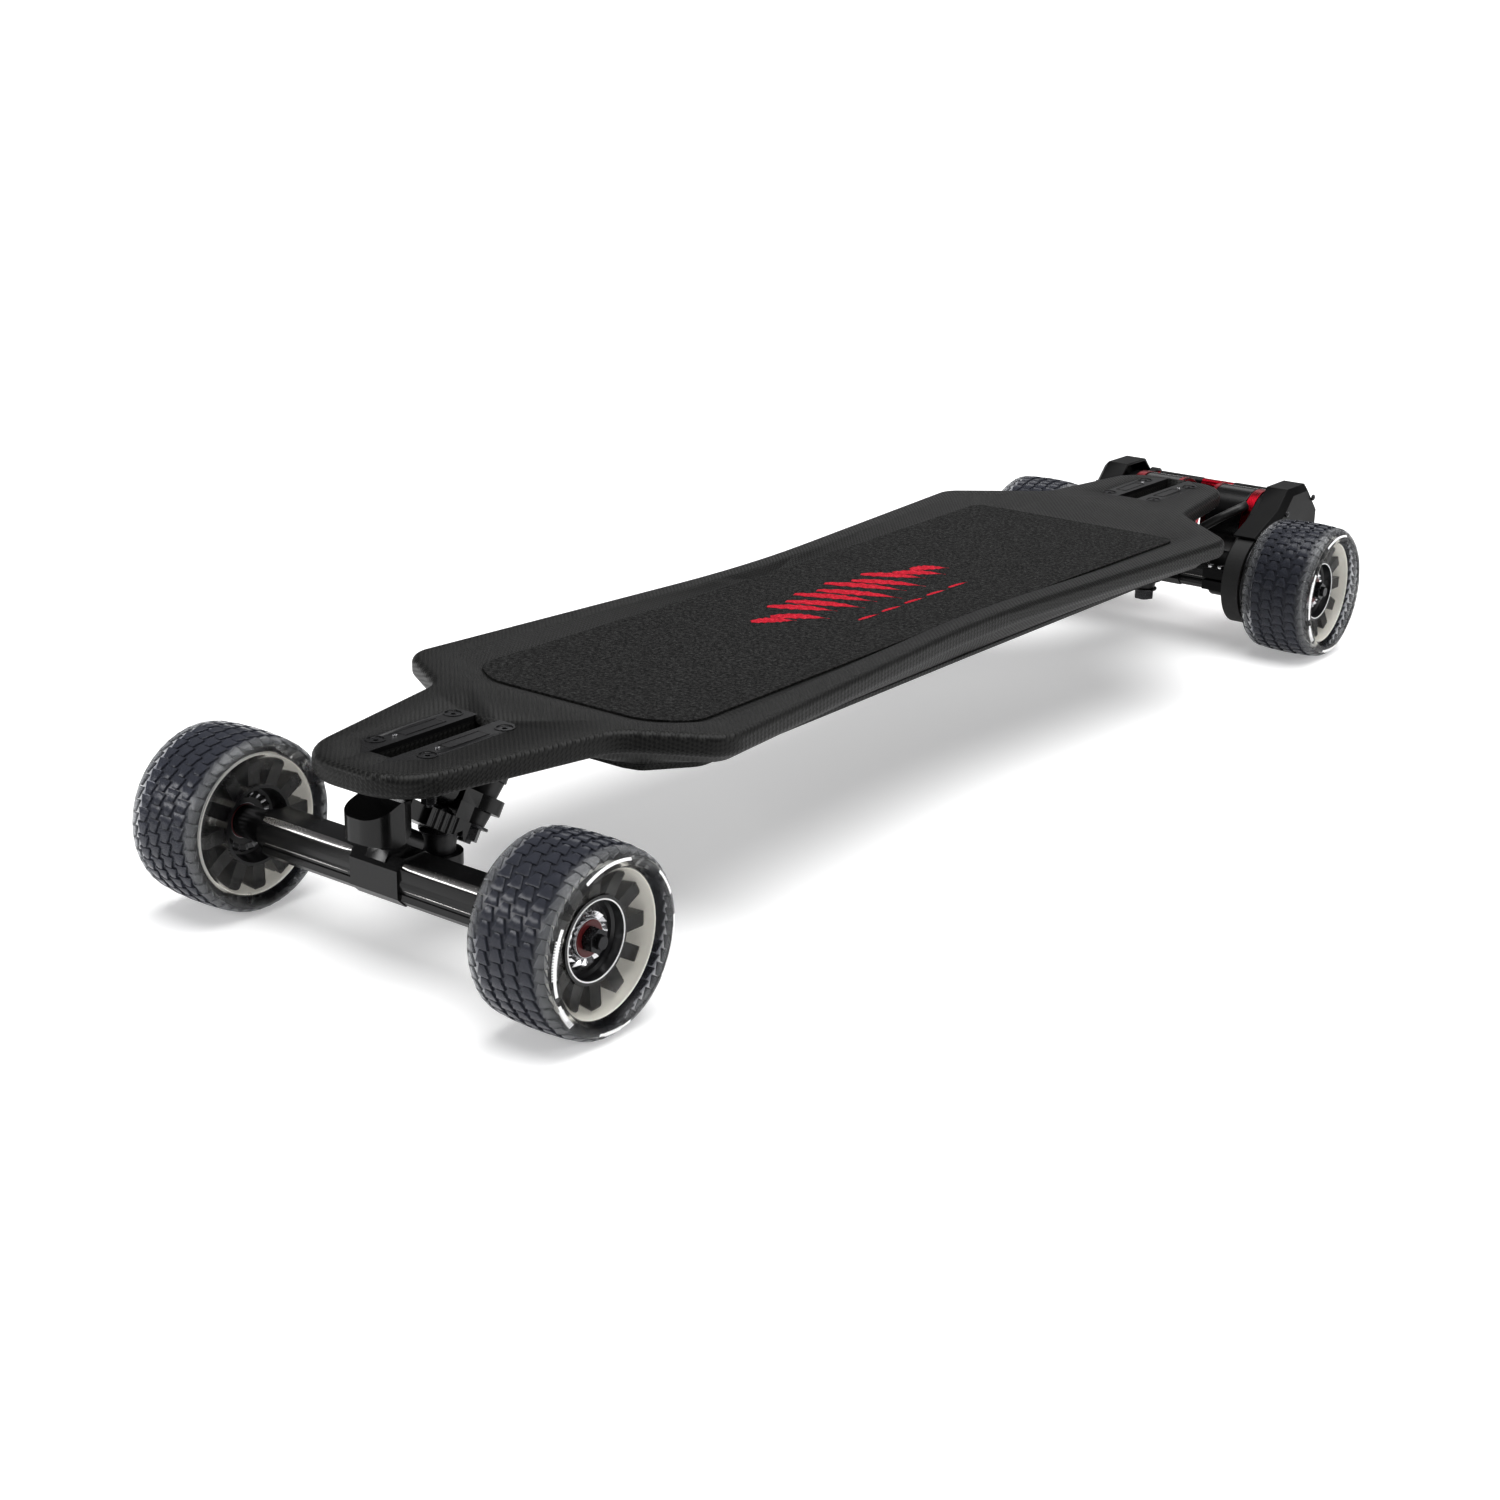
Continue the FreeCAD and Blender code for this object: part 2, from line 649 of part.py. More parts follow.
def bushings_2():
    centre_y = RING_2[0]
    bore = rod(Vector(0, centre_y, 20), Z, KINGPIN_RADIUS, 70)
    upper = cone(Vector(0, centre_y, RING_2_HIGH), Z, 9.5, 11.0, SEAT_2 - 1.5 - RING_2_HIGH).cut(bore)
    lower = cone(Vector(0, centre_y, 41.0), Z, 8.5, 10.0, RING_2_LOW - 41.0).cut(bore)
    return group([upper, lower])


def octagon_bar(half_length, half_y, half_z, chamfer):
    points = []
    for sy, sz in ((1, 1), (-1, 1), (-1, -1), (1, -1)):
        pair = [(sy * half_y, sz * (half_z - chamfer)), (sy * (half_y - chamfer), sz * half_z)]
        points += pair if sy * sz > 0 else pair[::-1]
    corners = [Vector(-half_length, y, AXLE_HEIGHT + z) for y, z in points + points[:1]]
    return Part.Face(Part.makePolygon(corners)).extrude(Vector(2 * half_length, 0, 0))


def hanger(arm_half, clamp_end, shoulder):
    body = octagon_bar(arm_half, 12.5, 13.5, 4.0)
    for side_y in (-12.5, 12.5):
        groove = box(-arm_half - 1, arm_half + 1, side_y - 1.2, side_y + 1.2, 49.5, 52.5)
        body = body.cut(groove)
    body = body.fuse(octagon_bar(19.0, 14.5, 14.5, 6.0))
    crest = extruded_profile([(-13, 66), (-6, 76.0), (8, 72.0), (13, 60)], 8.0)
    body = body.fuse(crest)
    body = body.fuse(inclined(rod(Vector(0, -26, 0), -Y, 9.0, 20.5)))
    body = body.fuse(inclined(rod(Vector(0, -40, 0), -Y, PIN_RADIUS, 25.0)))
    body = body.fuse(box(-9, 9, 5, RING_2[0], RING_2_LOW, RING_2_HIGH))
    body = body.fuse(rod(Vector(0, RING_2[0], RING_2_LOW), Z, 14.0, RING_2_HIGH - RING_2_LOW))
    body = body.cut(rod(Vector(0, RING_2[0], 30), Z, 8.6, 40))
    axle_line = Vector(0, 0, AXLE_HEIGHT)
    for direction in (X, -X):
        body = body.fuse(rod(axle_line, direction, 13.0, clamp_end))
        body = body.fuse(rod(axle_line, direction, 10.0, shoulder))
    body = body.cut(rod(axle_line - X * shoulder * 2, X, AXLE_RADIUS, shoulder * 4))
    return body.removeSplitter()


def axle(half_track):
    reach = half_track + 22.0
    return rod(Vector(-reach, 0, AXLE_HEIGHT), X, AXLE_RADIUS, 2 * reach)


def axle_hardware(half_track):
    """Nuts and speed washers, two of each per wheel side of the bearings."""
    pieces = []
    outer = SPACER_HALF + BEARING_WIDTH
    for side in (1, -1):
        for offset in (outer, -outer - 0.6):
            start = Vector(side * (half_track + offset), 0, AXLE_HEIGHT)
            pieces.append(pipe(start, X * side, 6.0, AXLE_RADIUS, 0.6))
        start = Vector(side * (half_track + outer + 0.6), 0, AXLE_HEIGHT)
        nut = hexagon_prism(start, X * side, 13.0, 6.5)
        pieces.append(nut.cut(rod(start - X * side, X * side, AXLE_RADIUS, 20)))
    return group(pieces)


def wheel_bearings(half_track):
    pieces = []
    for side in (1, -1):
        centre = Vector(side * half_track, 0, AXLE_HEIGHT)
        for start in (-SPACER_HALF - BEARING_WIDTH, SPACER_HALF):
            pieces.append(pipe(centre + X * start, X, BEARING_RADIUS, AXLE_RADIUS, BEARING_WIDTH))
        pieces.append(pipe(centre - X * SPACER_HALF, X, 5.6, AXLE_RADIUS, 2 * SPACER_HALF))
    return group(pieces)


# ---------------------------------------------------------------- wheels
FINGERS = 12


def tyre():
    half = WHEEL_HALF_WIDTH
    radius = WHEEL_RADIUS
    shoulder = []
    for step in range(5):
        angle = math.radians(22.5 * step)
        shoulder.append((half - 7.5 + 7.5 * math.cos(angle), radius - 7.5 + 7.5 * math.sin(angle)))
    inner_shoulder = [(-x, r) for x, r in reversed(shoulder)]
    profile = [(16.0, CORE_RADIUS), (19.5, 32.0), (25.5, 40.0), (half, 44.5)]
    profile += shoulder + inner_shoulder
    profile += [(-half, 45.0), (-25.0, 34.5), (-25.0, CORE_RADIUS)]
    return revolve_x(profile)


def wheel_core():
    bore = BEARING_RADIUS + RUNNING
    lip = SPACER_HALF - 0.3
    profile = [
        (-25.0, 14.5), (-SPACER_HALF - BEARING_WIDTH - 0.3, 14.5), (-SPACER_HALF - BEARING_WIDTH - 0.3, bore),
        (-lip, bore), (-lip, 9.0), (lip, 9.0), (lip, bore), (9.0, bore), (9.0, 22.5), (17.0, 22.5),
        (17.0, CORE_RADIUS), (-25.0, CORE_RADIUS),
    ]
    core = revolve_x(profile)
    for i in range(FINGERS):
        finger = box(-22.0, 11.0, -3.0, 3.0, 23.5, 37.0)
        finger = finger.makeFillet(2.5, [e for e in finger.Edges if e.BoundBox.XLength > 20])
        finger.rotate(Vector(0, 0, 0), X, 360.0 / FINGERS * i)
        core = core.fuse(finger)
    return core.removeSplitter()


# ---------------------------------------------------------------- drive
def toothed_pulley(teeth, x0, x1, bore):
    """A belt pulley with round-bottomed square teeth, about the X axis."""
    tip = teeth * BELT_PITCH / (2 * math.pi) - 0.57
    root = tip - 1.9
    points = []
    for i in range(teeth):
        for fraction, radius in ((0.0, tip), (0.42, tip), (0.52, root), (0.90, root)):
            angle = 2 * math.pi * (i + fraction) / teeth
            points.append(Vector(x0, radius * math.cos(angle), radius * math.sin(angle)))
    face = Part.Face(Part.makePolygon(points + points[:1]))
    return face.extrude(Vector(x1 - x0, 0, 0)).cut(rod(Vector(x0 - 1, 0, 0), X, bore, x1 - x0 + 2))


def pulley_tip(teeth):
    return teeth * BELT_PITCH / (2 * math.pi) - 0.57


def motor_pulley():
    pulley = toothed_pulley(MOTOR_TEETH, PULLEY_X0, PULLEY_X1 - 1, AXLE_RADIUS)
    pulley.translate(Vector(0, MOTOR_Y, MOTOR_Z))
    return pulley


def wheel_pulley():
    """The large pulley, with the adapter that keys into the wheel core."""
    pulley = toothed_pulley(WHEEL_TEETH, PULLEY_X0, PULLEY_X1 - 1, 11.0)
    guard = pipe(Vector(PULLEY_X1 - 1, 0, 0), X, 35.3, 11.0, 1.2)
    adapter = pipe(Vector(PULLEY_X1, 0, 0), X, 24.0, 11.0, REAR_HALF_TRACK - 25.0 - PULLEY_X1)
    keys = pipe(Vector(REAR_HALF_TRACK - 26.0, 0, 0), X, 14.4, 11.0, 6.0)
    pulley = fuse([pulley, guard, adapter, keys])
    for i in range(6):
        hole = rod(Vector(PULLEY_X0 - 1, 0, 22.5), X, 5.0, PULLEY_X1 - PULLEY_X0)
        hole.rotate(Vector(0, 0, 0), X, 60 * i)
        pulley = pulley.cut(hole)
    pulley.translate(Vector(0, 0, AXLE_HEIGHT))
    return pulley


AXLE_POINT = (0.0, AXLE_HEIGHT)
MOTOR_POINT = (MOTOR_Y, MOTOR_Z)
BELT_GAP = 0.4
BELT_THICKNESS = 3.0


def belt():
    inner_motor = pulley_tip(MOTOR_TEETH) + BELT_GAP
    inner_wheel = pulley_tip(WHEEL_TEETH) + BELT_GAP
    x0, x1 = PULLEY_X0 + 1, PULLEY_X1 - 2
    outer = two_circle_plate(x0, x1, MOTOR_POINT, inner_motor + BELT_THICKNESS,
                             AXLE_POINT, inner_wheel + BELT_THICKNESS)
    return outer.cut(two_circle_plate(x0 - 1, x1 + 1, MOTOR_POINT, inner_motor, AXLE_POINT, inner_wheel))


TIE_POINT = (-89.0, 107.5)
TIE_RADIUS = 5.0


def motor_mount():
    """The plate that clamps on the hanger and carries the motor, with its split clamp."""
    body = two_circle_plate(MOUNT_X0, MOUNT_X1, MOTOR_POINT, 30.0, AXLE_POINT, 20.0)
    body = body.fuse(two_circle_plate(MOUNT_X0, MOUNT_X1, MOTOR_POINT, 16.0, TIE_POINT, 7.5))
    body = body.fuse(rod(Vector(48.0, 0, AXLE_HEIGHT), X, 19.0, MOUNT_X1 - 48.0))
    body = body.fuse(box(48.0, 66.0, 14.0, 27.0, AXLE_HEIGHT - 9, AXLE_HEIGHT + 9))
    body = body.cut(box(47.0, 67.5, 10.0, 30.0, AXLE_HEIGHT - 1.0, AXLE_HEIGHT + 1.0))
    body = body.cut(rod(Vector(40.0, 0, AXLE_HEIGHT), X, 13.0, 40.0))
    body = body.cut(rod(Vector(40.0, MOTOR_Y, MOTOR_Z), X, 8.0, 40.0))
    return body.removeSplitter()


def motor_flange():
    centre = Vector(52.0, MOTOR_Y, MOTOR_Z)
    return pipe(centre, X, MOTOR_RADIUS, 7.0, MOUNT_X0 - 52.0)


def motor_stator():
    core = pipe(Vector(22.0, MOTOR_Y, MOTOR_Z), X, 24.5, 6.0, 26.0)
    neck = pipe(Vector(48.0, MOTOR_Y, MOTOR_Z), X, 12.0, 6.0, 4.0)
    for i in range(12):
        slot = box(21, 48.0, -1.2, 1.2, 14.0, 26.0)
        slot.rotate(Vector(0, 0, 0), X, 30 * i)
        slot.translate(Vector(0, MOTOR_Y, MOTOR_Z))
        core = core.cut(slot)
    return core.fuse(neck).removeSplitter()


def motor_can():
    start = Vector(MOTOR_INNER_X, MOTOR_Y, MOTOR_Z)
    can = rod(start, X, MOTOR_RADIUS - 0.4, 51.4 - MOTOR_INNER_X)
    can = can.cut(rod(start + X * 4, X, 26.5, 60))
    return can.fuse(rod(start + X, X, AXLE_RADIUS, PULLEY_X1 - MOTOR_INNER_X - 1)).removeSplitter()


def octagon_plate(x0, x1, centre, apothem):
    radius = apothem / math.cos(math.pi / 8)
    corners = []
    for i in range(9):
        angle = math.pi / 8 + math.pi / 4 * i
        corners.append(Vector(x0, centre[0] + radius * math.cos(angle), centre[1] + radius * math.sin(angle)))
    return Part.Face(Part.makePolygon(corners)).extrude(Vector(x1 - x0, 0, 0))


COVER_CENTRE = (-59.0, 85.5)
COVER_APOTHEM = 39.5
COVER_WALL = 2.2


def cover_body(x0, x1, inset, chamfer):
    """The belt cover's outer form, shrunk by inset, with its outer face chamfered."""
    head = octagon_plate(x0, x1, COVER_CENTRE, COVER_APOTHEM - inset)
    arm = two_circle_plate(x0, x1, COVER_CENTRE, 34.0 - inset, AXLE_POINT, 41.0 - inset)
    body = head.fuse(arm).removeSplitter()
    if chamfer:
        rim = [e for e in body.Edges if e.BoundBox.XMin > x1 - 0.01]
        body = body.makeChamfer(chamfer, rim)
    return body


def belt_cover():
    body = cover_body(MOUNT_X1, COVER_X1, 0.0, 5.0)
    body = body.cut(cover_body(MOUNT_X1 - 1, COVER_X1 - COVER_WALL, COVER_WALL, 3.5))
    toward_axle = Vector(0, -MOTOR_Y, AXLE_HEIGHT - MOTOR_Z).normalize()
    cutter = Part.makeBox(80, 120, 200, Vector(40, 0, -100))
    cutter.Placement = FreeCAD.Placement(Vector(0, 0, AXLE_HEIGHT) - toward_axle * 6,
                                         FreeCAD.Rotation(Y, toward_axle))
    body = body.cut(cutter)
    body = body.cut(rod(Vector(MOUNT_X1 - 5, 0, AXLE_HEIGHT), X, 26.0, 40.0))
    return body.removeSplitter()


def tie_bar():
    return rod(Vector(-MOUNT_X0, *TIE_POINT), X, TIE_RADIUS, 2 * MOUNT_X0)


CABLE_RADIUS = 3.8
CLIP_POINT = (21.0, 24.0, 82.0)  # cable clip beside the yoke, in the truck frame


def deck_lead():
    """From the gland, past the baseplate, to the clip on the yoke."""
    x, y, z = CLIP_POINT
    return cable([(42.0, 111.0, 103.0), (42.0, 88.0, 101.5), (36.0, 64.0, 92.0), (x, y + 18.0, z),
                  CLIP_POINT], CABLE_RADIUS)


def motor_lead():
    """From the clip on the yoke to the motor's fixed flange."""
    x, y, z = CLIP_POINT
    return cable([CLIP_POINT, (x, y - 18.0, z), (31.0, -6.0, 92.0), (45.0, -16.0, 102.0),
                  (56.0, -30.0, 109.2)], CABLE_RADIUS)


# ---------------------------------------------------------------- nodes
def nodes():
    result = {
        "deck_shell": deck_shell(),
        "grip_tape": grip_tape(),
        "bottom_cover": bottom_cover(),
        "cover_gasket": cover_gasket(),
        "cover_screws": cover_screws(),
        "battery_cells": battery_cells(),
        "cell_holders": cell_holders(),
        "battery_management_board": management_board(),
        "motor_controller": motor_controller(),
        "battery_leads": battery_leads(),
        "power_button": power_button(),
        "charge_port": charge_port(),
        "charge_port_cap": port_cap(),
        "cable_glands": cable_glands(),
        "truck_washer_plates": washer_plates(),
        "truck_bolts": truck_bolts(),
    }
    kingpins = []
    cups = []
    for name, place, half_track in (("front", at_front, FRONT_HALF_TRACK), ("rear", at_rear, REAR_HALF_TRACK)):
        result[name + "_baseplate"] = place(baseplate())
        kingpins += [place(piece) for piece in kingpin_set_1()]
        cups.append(place(pivot_cup_1()))
        result[name + "_base_bushings"] = place(bushings_1())
        result[name + "_yoke"] = place(yoke())
        result[name + "_yoke_kingpin"] = place(kingpin_set_2())
        result[name + "_yoke_bushings"] = place(bushings_2())
        result[name + "_yoke_pivot_cup"] = place(pivot_cup_2())
        arm_half, clamp_end = (96.0, 100.0) if name == "front" else (47.0, 68.0)
        shoulder = half_track - SPACER_HALF - BEARING_WIDTH - 0.6
        result[name + "_hanger"] = place(hanger(arm_half, clamp_end, shoulder))
        result[name + "_axle"] = place(axle(half_track))
        result[name + "_axle_nuts"] = place(axle_hardware(half_track))
        result[name + "_wheel_bearings"] = place(wheel_bearings(half_track))
    result["base_kingpins"] = group(kingpins)
    result["base_pivot_cups"] = group(cups)
    tyre_shape = tyre()
    core_shape = wheel_core()
    for end, axle_y, half_track in (("front", FRONT_AXLE_Y, FRONT_HALF_TRACK), ("rear", REAR_AXLE_Y, REAR_HALF_TRACK)):
        for side, sign in (("left", 1), ("right", -1)):
            result[end + "_" + side + "_tyre"] = on_axle(tyre_shape, sign * half_track, axle_y)
            result[end + "_" + side + "_wheel_core"] = on_axle(core_shape, sign * half_track, axle_y)
    result["motor_mounts"] = at_rear(both_sides(motor_mount()))
    result["motor_flanges"] = at_rear(both_sides(motor_flange()))
    result["motor_stators"] = at_rear(both_sides(motor_stator()))
    result["drive_belts"] = at_rear(both_sides(belt()))
    result["belt_covers"] = at_rear(both_sides(belt_cover()))
    result["tie_bar"] = at_rear(tie_bar())
    result["phase_leads_deck"] = at_rear(both_sides(deck_lead()))
    result["phase_leads_motor"] = at_rear(both_sides(motor_lead()))
    for piece, make in (("motor_can", motor_can), ("motor_pulley", motor_pulley), ("wheel_pulley", wheel_pulley)):
        result["right_" + piece] = at_rear(make())
        result["left_" + piece] = at_rear(mirror_x(make()))
    return result


def main():
    os.makedirs("parts", exist_ok=True)
    for name, shape in nodes().items():
        shape.translate(Vector(0, SHIFT_Y, 0))
        shape.exportStep("parts/" + name + ".step")
        print(name, len(shape.Solids), "solids, valid", shape.isValid(), "volume", round(shape.Volume))
    print("shift along Y", SHIFT_Y, "overall length", OVERALL)


main()
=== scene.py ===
# %% [markdown]
# # An electric longboard
# The board is built around a fixed frame: the CAD model, which holds every size and joint.
# Each visible piece is either the CAD shape with cleaned-up shading, or a new mesh on the same place,
# and every one rides on the CAD body that carries it, except the two phase leads, which stay where the
# CAD model puts them. Lengths are in metres, and +Y is the tail.

# %% Load the frame
import json
import math

import bmesh
import bpy
from mathutils import Matrix, Vector

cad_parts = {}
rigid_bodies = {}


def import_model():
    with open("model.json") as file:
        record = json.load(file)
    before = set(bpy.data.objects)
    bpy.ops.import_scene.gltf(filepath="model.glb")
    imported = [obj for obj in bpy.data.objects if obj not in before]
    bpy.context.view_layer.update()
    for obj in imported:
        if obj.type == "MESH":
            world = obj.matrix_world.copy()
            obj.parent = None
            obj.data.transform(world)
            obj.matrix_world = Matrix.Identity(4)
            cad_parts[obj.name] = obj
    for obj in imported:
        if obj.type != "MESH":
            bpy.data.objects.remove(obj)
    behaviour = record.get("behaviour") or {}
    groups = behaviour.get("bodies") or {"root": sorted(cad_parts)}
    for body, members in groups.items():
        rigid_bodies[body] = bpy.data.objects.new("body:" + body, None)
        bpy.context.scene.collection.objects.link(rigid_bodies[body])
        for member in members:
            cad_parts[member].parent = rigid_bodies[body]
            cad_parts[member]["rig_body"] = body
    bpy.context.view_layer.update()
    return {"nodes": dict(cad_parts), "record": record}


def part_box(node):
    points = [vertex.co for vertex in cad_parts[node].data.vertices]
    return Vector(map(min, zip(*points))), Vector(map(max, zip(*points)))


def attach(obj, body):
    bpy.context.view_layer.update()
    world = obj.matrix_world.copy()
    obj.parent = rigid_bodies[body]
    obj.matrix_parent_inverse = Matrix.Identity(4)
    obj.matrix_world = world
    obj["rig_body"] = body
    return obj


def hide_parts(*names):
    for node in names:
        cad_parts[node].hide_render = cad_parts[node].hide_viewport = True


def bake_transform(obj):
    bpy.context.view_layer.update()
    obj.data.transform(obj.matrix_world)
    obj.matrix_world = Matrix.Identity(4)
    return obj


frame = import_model()
MM = 0.001

# %% [markdown]
# ## Camera, floor and light
# A product picture needs a white floor that never ends, and soft light that still leaves dark paint
# dark. One wide sun lights floor and board evenly and throws the soft shadow. Large area lights are
# there to be mirrored: on black paint, the reflection of a lamp is most of what the eye sees. The floor
# gives off a little light, so that it stays near white outside the shadow, and a view gamma just under
# one deepens the greys.

# %% Camera
CAMERA_AZIMUTH = math.radians(37.277)
CAMERA_ELEVATION = math.radians(19.092)
CAMERA_ROLL = math.radians(1.003)
CAMERA_PLACE = Vector((0.90738, -1.34207, 0.55790))
CAMERA_LENS = 56.16
SENSOR_WIDTH = 36.0


def camera_axes(azimuth, elevation, roll):
    """The camera's right, up and backward directions."""
    level = math.cos(elevation)
    back = Vector((math.sin(azimuth) * level, -math.cos(azimuth) * level, math.sin(elevation)))
    right = Vector((math.cos(azimuth), math.sin(azimuth), 0.0))
    up = back.cross(right)
    turned_right = right * math.cos(roll) + up * math.sin(roll)
    turned_up = up * math.cos(roll) - right * math.sin(roll)
    return turned_right, turned_up, back


def place_camera():
    data = bpy.data.cameras.new("camera")
    data.sensor_width = SENSOR_WIDTH
    data.lens = CAMERA_LENS
    camera = bpy.data.objects.new("camera", data)
    bpy.context.scene.collection.objects.link(camera)
    axes = Matrix(camera_axes(CAMERA_AZIMUTH, CAMERA_ELEVATION, CAMERA_ROLL)).transposed()
    camera.matrix_world = Matrix.Translation(CAMERA_PLACE) @ axes.to_4x4()
    bpy.context.scene.camera = camera
    return camera


print("camera:", place_camera().matrix_world.translation)

# %% Mesh helpers
MERGE_DISTANCE = 0.001 * MM


def new_object(name, mesh_bm):
    """An object at the origin whose mesh is the bmesh."""
    mesh = bpy.data.meshes.new(name)
    mesh_bm.to_mesh(mesh)
    mesh_bm.free()
    piece = bpy.data.objects.new(name, mesh)
    bpy.context.scene.collection.objects.link(piece)
    return piece


def shade(piece, angle=32.0):
    """Smooth shading, broken at edges sharper than the angle in degrees."""
    piece.data.shade_smooth()
    piece.data.set_sharp_from_angle(angle=math.radians(angle))


def full_spin(bm, corners, axis, steps):
    """Joins the corners into a closed outline, spins it once round an axis and closes the seam."""
    verts = [bm.verts.new(corner) for corner in corners]
    edges = [bm.edges.new(pair) for pair in zip(verts, verts[1:] + verts[:1])]
    bmesh.ops.spin(bm, geom=verts + edges, cent=(0, 0, 0), axis=axis, dvec=(0, 0, 0),
                   angle=2 * math.pi, steps=steps, use_merge=True, use_normal_flip=False,
                   use_duplicate=False)
    bmesh.ops.remove_doubles(bm, verts=bm.verts, dist=MERGE_DISTANCE)
    bmesh.ops.recalc_face_normals(bm, faces=bm.faces)


def spin_profile(bm, points, steps=96):
    """Turns (x, radius) points about the X axis into a closed surface."""
    full_spin(bm, [(x, 0.0, r) for x, r in points], (1, 0, 0), steps)


def repeat_round(bm, count):
    """Copies everything in the bmesh round the X axis, until there are count of it."""
    bmesh.ops.spin(bm, geom=bm.verts[:] + bm.edges[:] + bm.faces[:], cent=(0, 0, 0), axis=(1, 0, 0),
                   dvec=(0, 0, 0), angle=2 * math.pi * (1 - 1 / count), steps=count - 1,
                   use_merge=False, use_normal_flip=False, use_duplicate=True)


def append_bmesh(target, source):
    """Adds one bmesh to another by way of a throwaway mesh."""
    mesh = bpy.data.meshes.new("passing")
    source.to_mesh(mesh)
    source.free()
    target.from_mesh(mesh)
    bpy.data.meshes.remove(mesh)


# %% Floor
FLOOR_SIZE = 40.0
FLOOR_GREY = 0.75
FLOOR_GLOW = 0.38


def white_floor():
    bm = bmesh.new()
    bmesh.ops.create_grid(bm, x_segments=1, y_segments=1, size=FLOOR_SIZE)
    floor = new_object("floor", bm)
    material = bpy.data.materials.new("floor_white")
    material.use_nodes = True
    shader = material.node_tree.nodes["Principled BSDF"]
    shader.inputs["Base Color"].default_value = (FLOOR_GREY, FLOOR_GREY, FLOOR_GREY, 1.0)
    shader.inputs["Roughness"].default_value = 0.9
    shader.inputs["Emission Color"].default_value = (1.0, 1.0, 1.0, 1.0)
    shader.inputs["Emission Strength"].default_value = FLOOR_GLOW
    floor.data.materials.append(material)
    return floor


print("floor:", white_floor().name, FLOOR_SIZE * 2, "m across")

# %% Lights
SUN_STRENGTH = 3.6
SUN_SPREAD = math.radians(60.0)
SOFTBOXES = {
    "back_softbox": ((-1.2, 2.6, 1.5), (0.0, 0.0, 0.1), 9.0, (2.6, 0.9)),
    "right_softbox": ((2.6, 0.6, 1.2), (0.0, 0.0, 0.1), 20.0, (1.8, 0.8)),
    "front_softbox": ((-1.4, -2.2, 1.0), (0.0, -0.4, 0.1), 24.0, (1.6, 0.5)),
}
WORLD_GREY = (0.17, 0.17, 0.175, 1.0)
VIEW_GAMMA = 0.86


def add_light(name, kind, place, target, energy, size=(1.0, 1.0)):
    data = bpy.data.lights.new(name, kind)
    data.energy = energy
    if kind == "AREA":
        data.shape = "RECTANGLE"
        data.size, data.size_y = size
    lamp = bpy.data.objects.new(name, data)
    bpy.context.scene.collection.objects.link(lamp)
    aim = Vector(target) - Vector(place)
    lamp.rotation_euler = aim.to_track_quat("-Z", "Y").to_euler()
    lamp.location = place
    return lamp


sun = add_light("sun", "SUN", (0.3, 0.2, 3.0), (0.0, 0.0, 0.0), SUN_STRENGTH)
sun.data.angle = SUN_SPREAD
for name, (place, target, power, size) in SOFTBOXES.items():
    add_light(name, "AREA", place, target, power, size)


def studio_world():
    """Grey light from all round, white where the camera looks straight at it."""
    world = bpy.data.worlds.new("studio")
    bpy.context.scene.world = world
    world.use_nodes = True
    nodes = world.node_tree.nodes
    links = world.node_tree.links
    nodes.clear()
    output = nodes.new("ShaderNodeOutputWorld")
    seen = nodes.new("ShaderNodeBackground")
    seen.inputs["Color"].default_value = (1.0, 1.0, 1.0, 1.0)
    lit = nodes.new("ShaderNodeBackground")
    lit.inputs["Color"].default_value = WORLD_GREY
    path = nodes.new("ShaderNodeLightPath")
    mix = nodes.new("ShaderNodeMixShader")
    links.new(path.outputs["Is Camera Ray"], mix.inputs[0])
    links.new(lit.outputs[0], mix.inputs[1])
    links.new(seen.outputs[0], mix.inputs[2])
    links.new(mix.outputs[0], output.inputs["Surface"])


studio_world()
bpy.context.scene.view_settings.view_transform = "Standard"
bpy.context.scene.view_settings.gamma = VIEW_GAMMA
print("lights:", len(bpy.data.lights))

# %% [markdown]
# ## Finishes
# Every finish is a small node tree on Object coordinates, so nothing needs unwrapping and the pattern
# keeps its real size. The helper class keeps the trees short: it adds a node, joins it to what went
# before, and returns the output socket, so a pattern reads like a formula.

# %% A helper for node trees


MIX_FIRST, MIX_SECOND, MIX_RESULT = 6, 7, 2  # a Mix node's sockets when it mixes colours


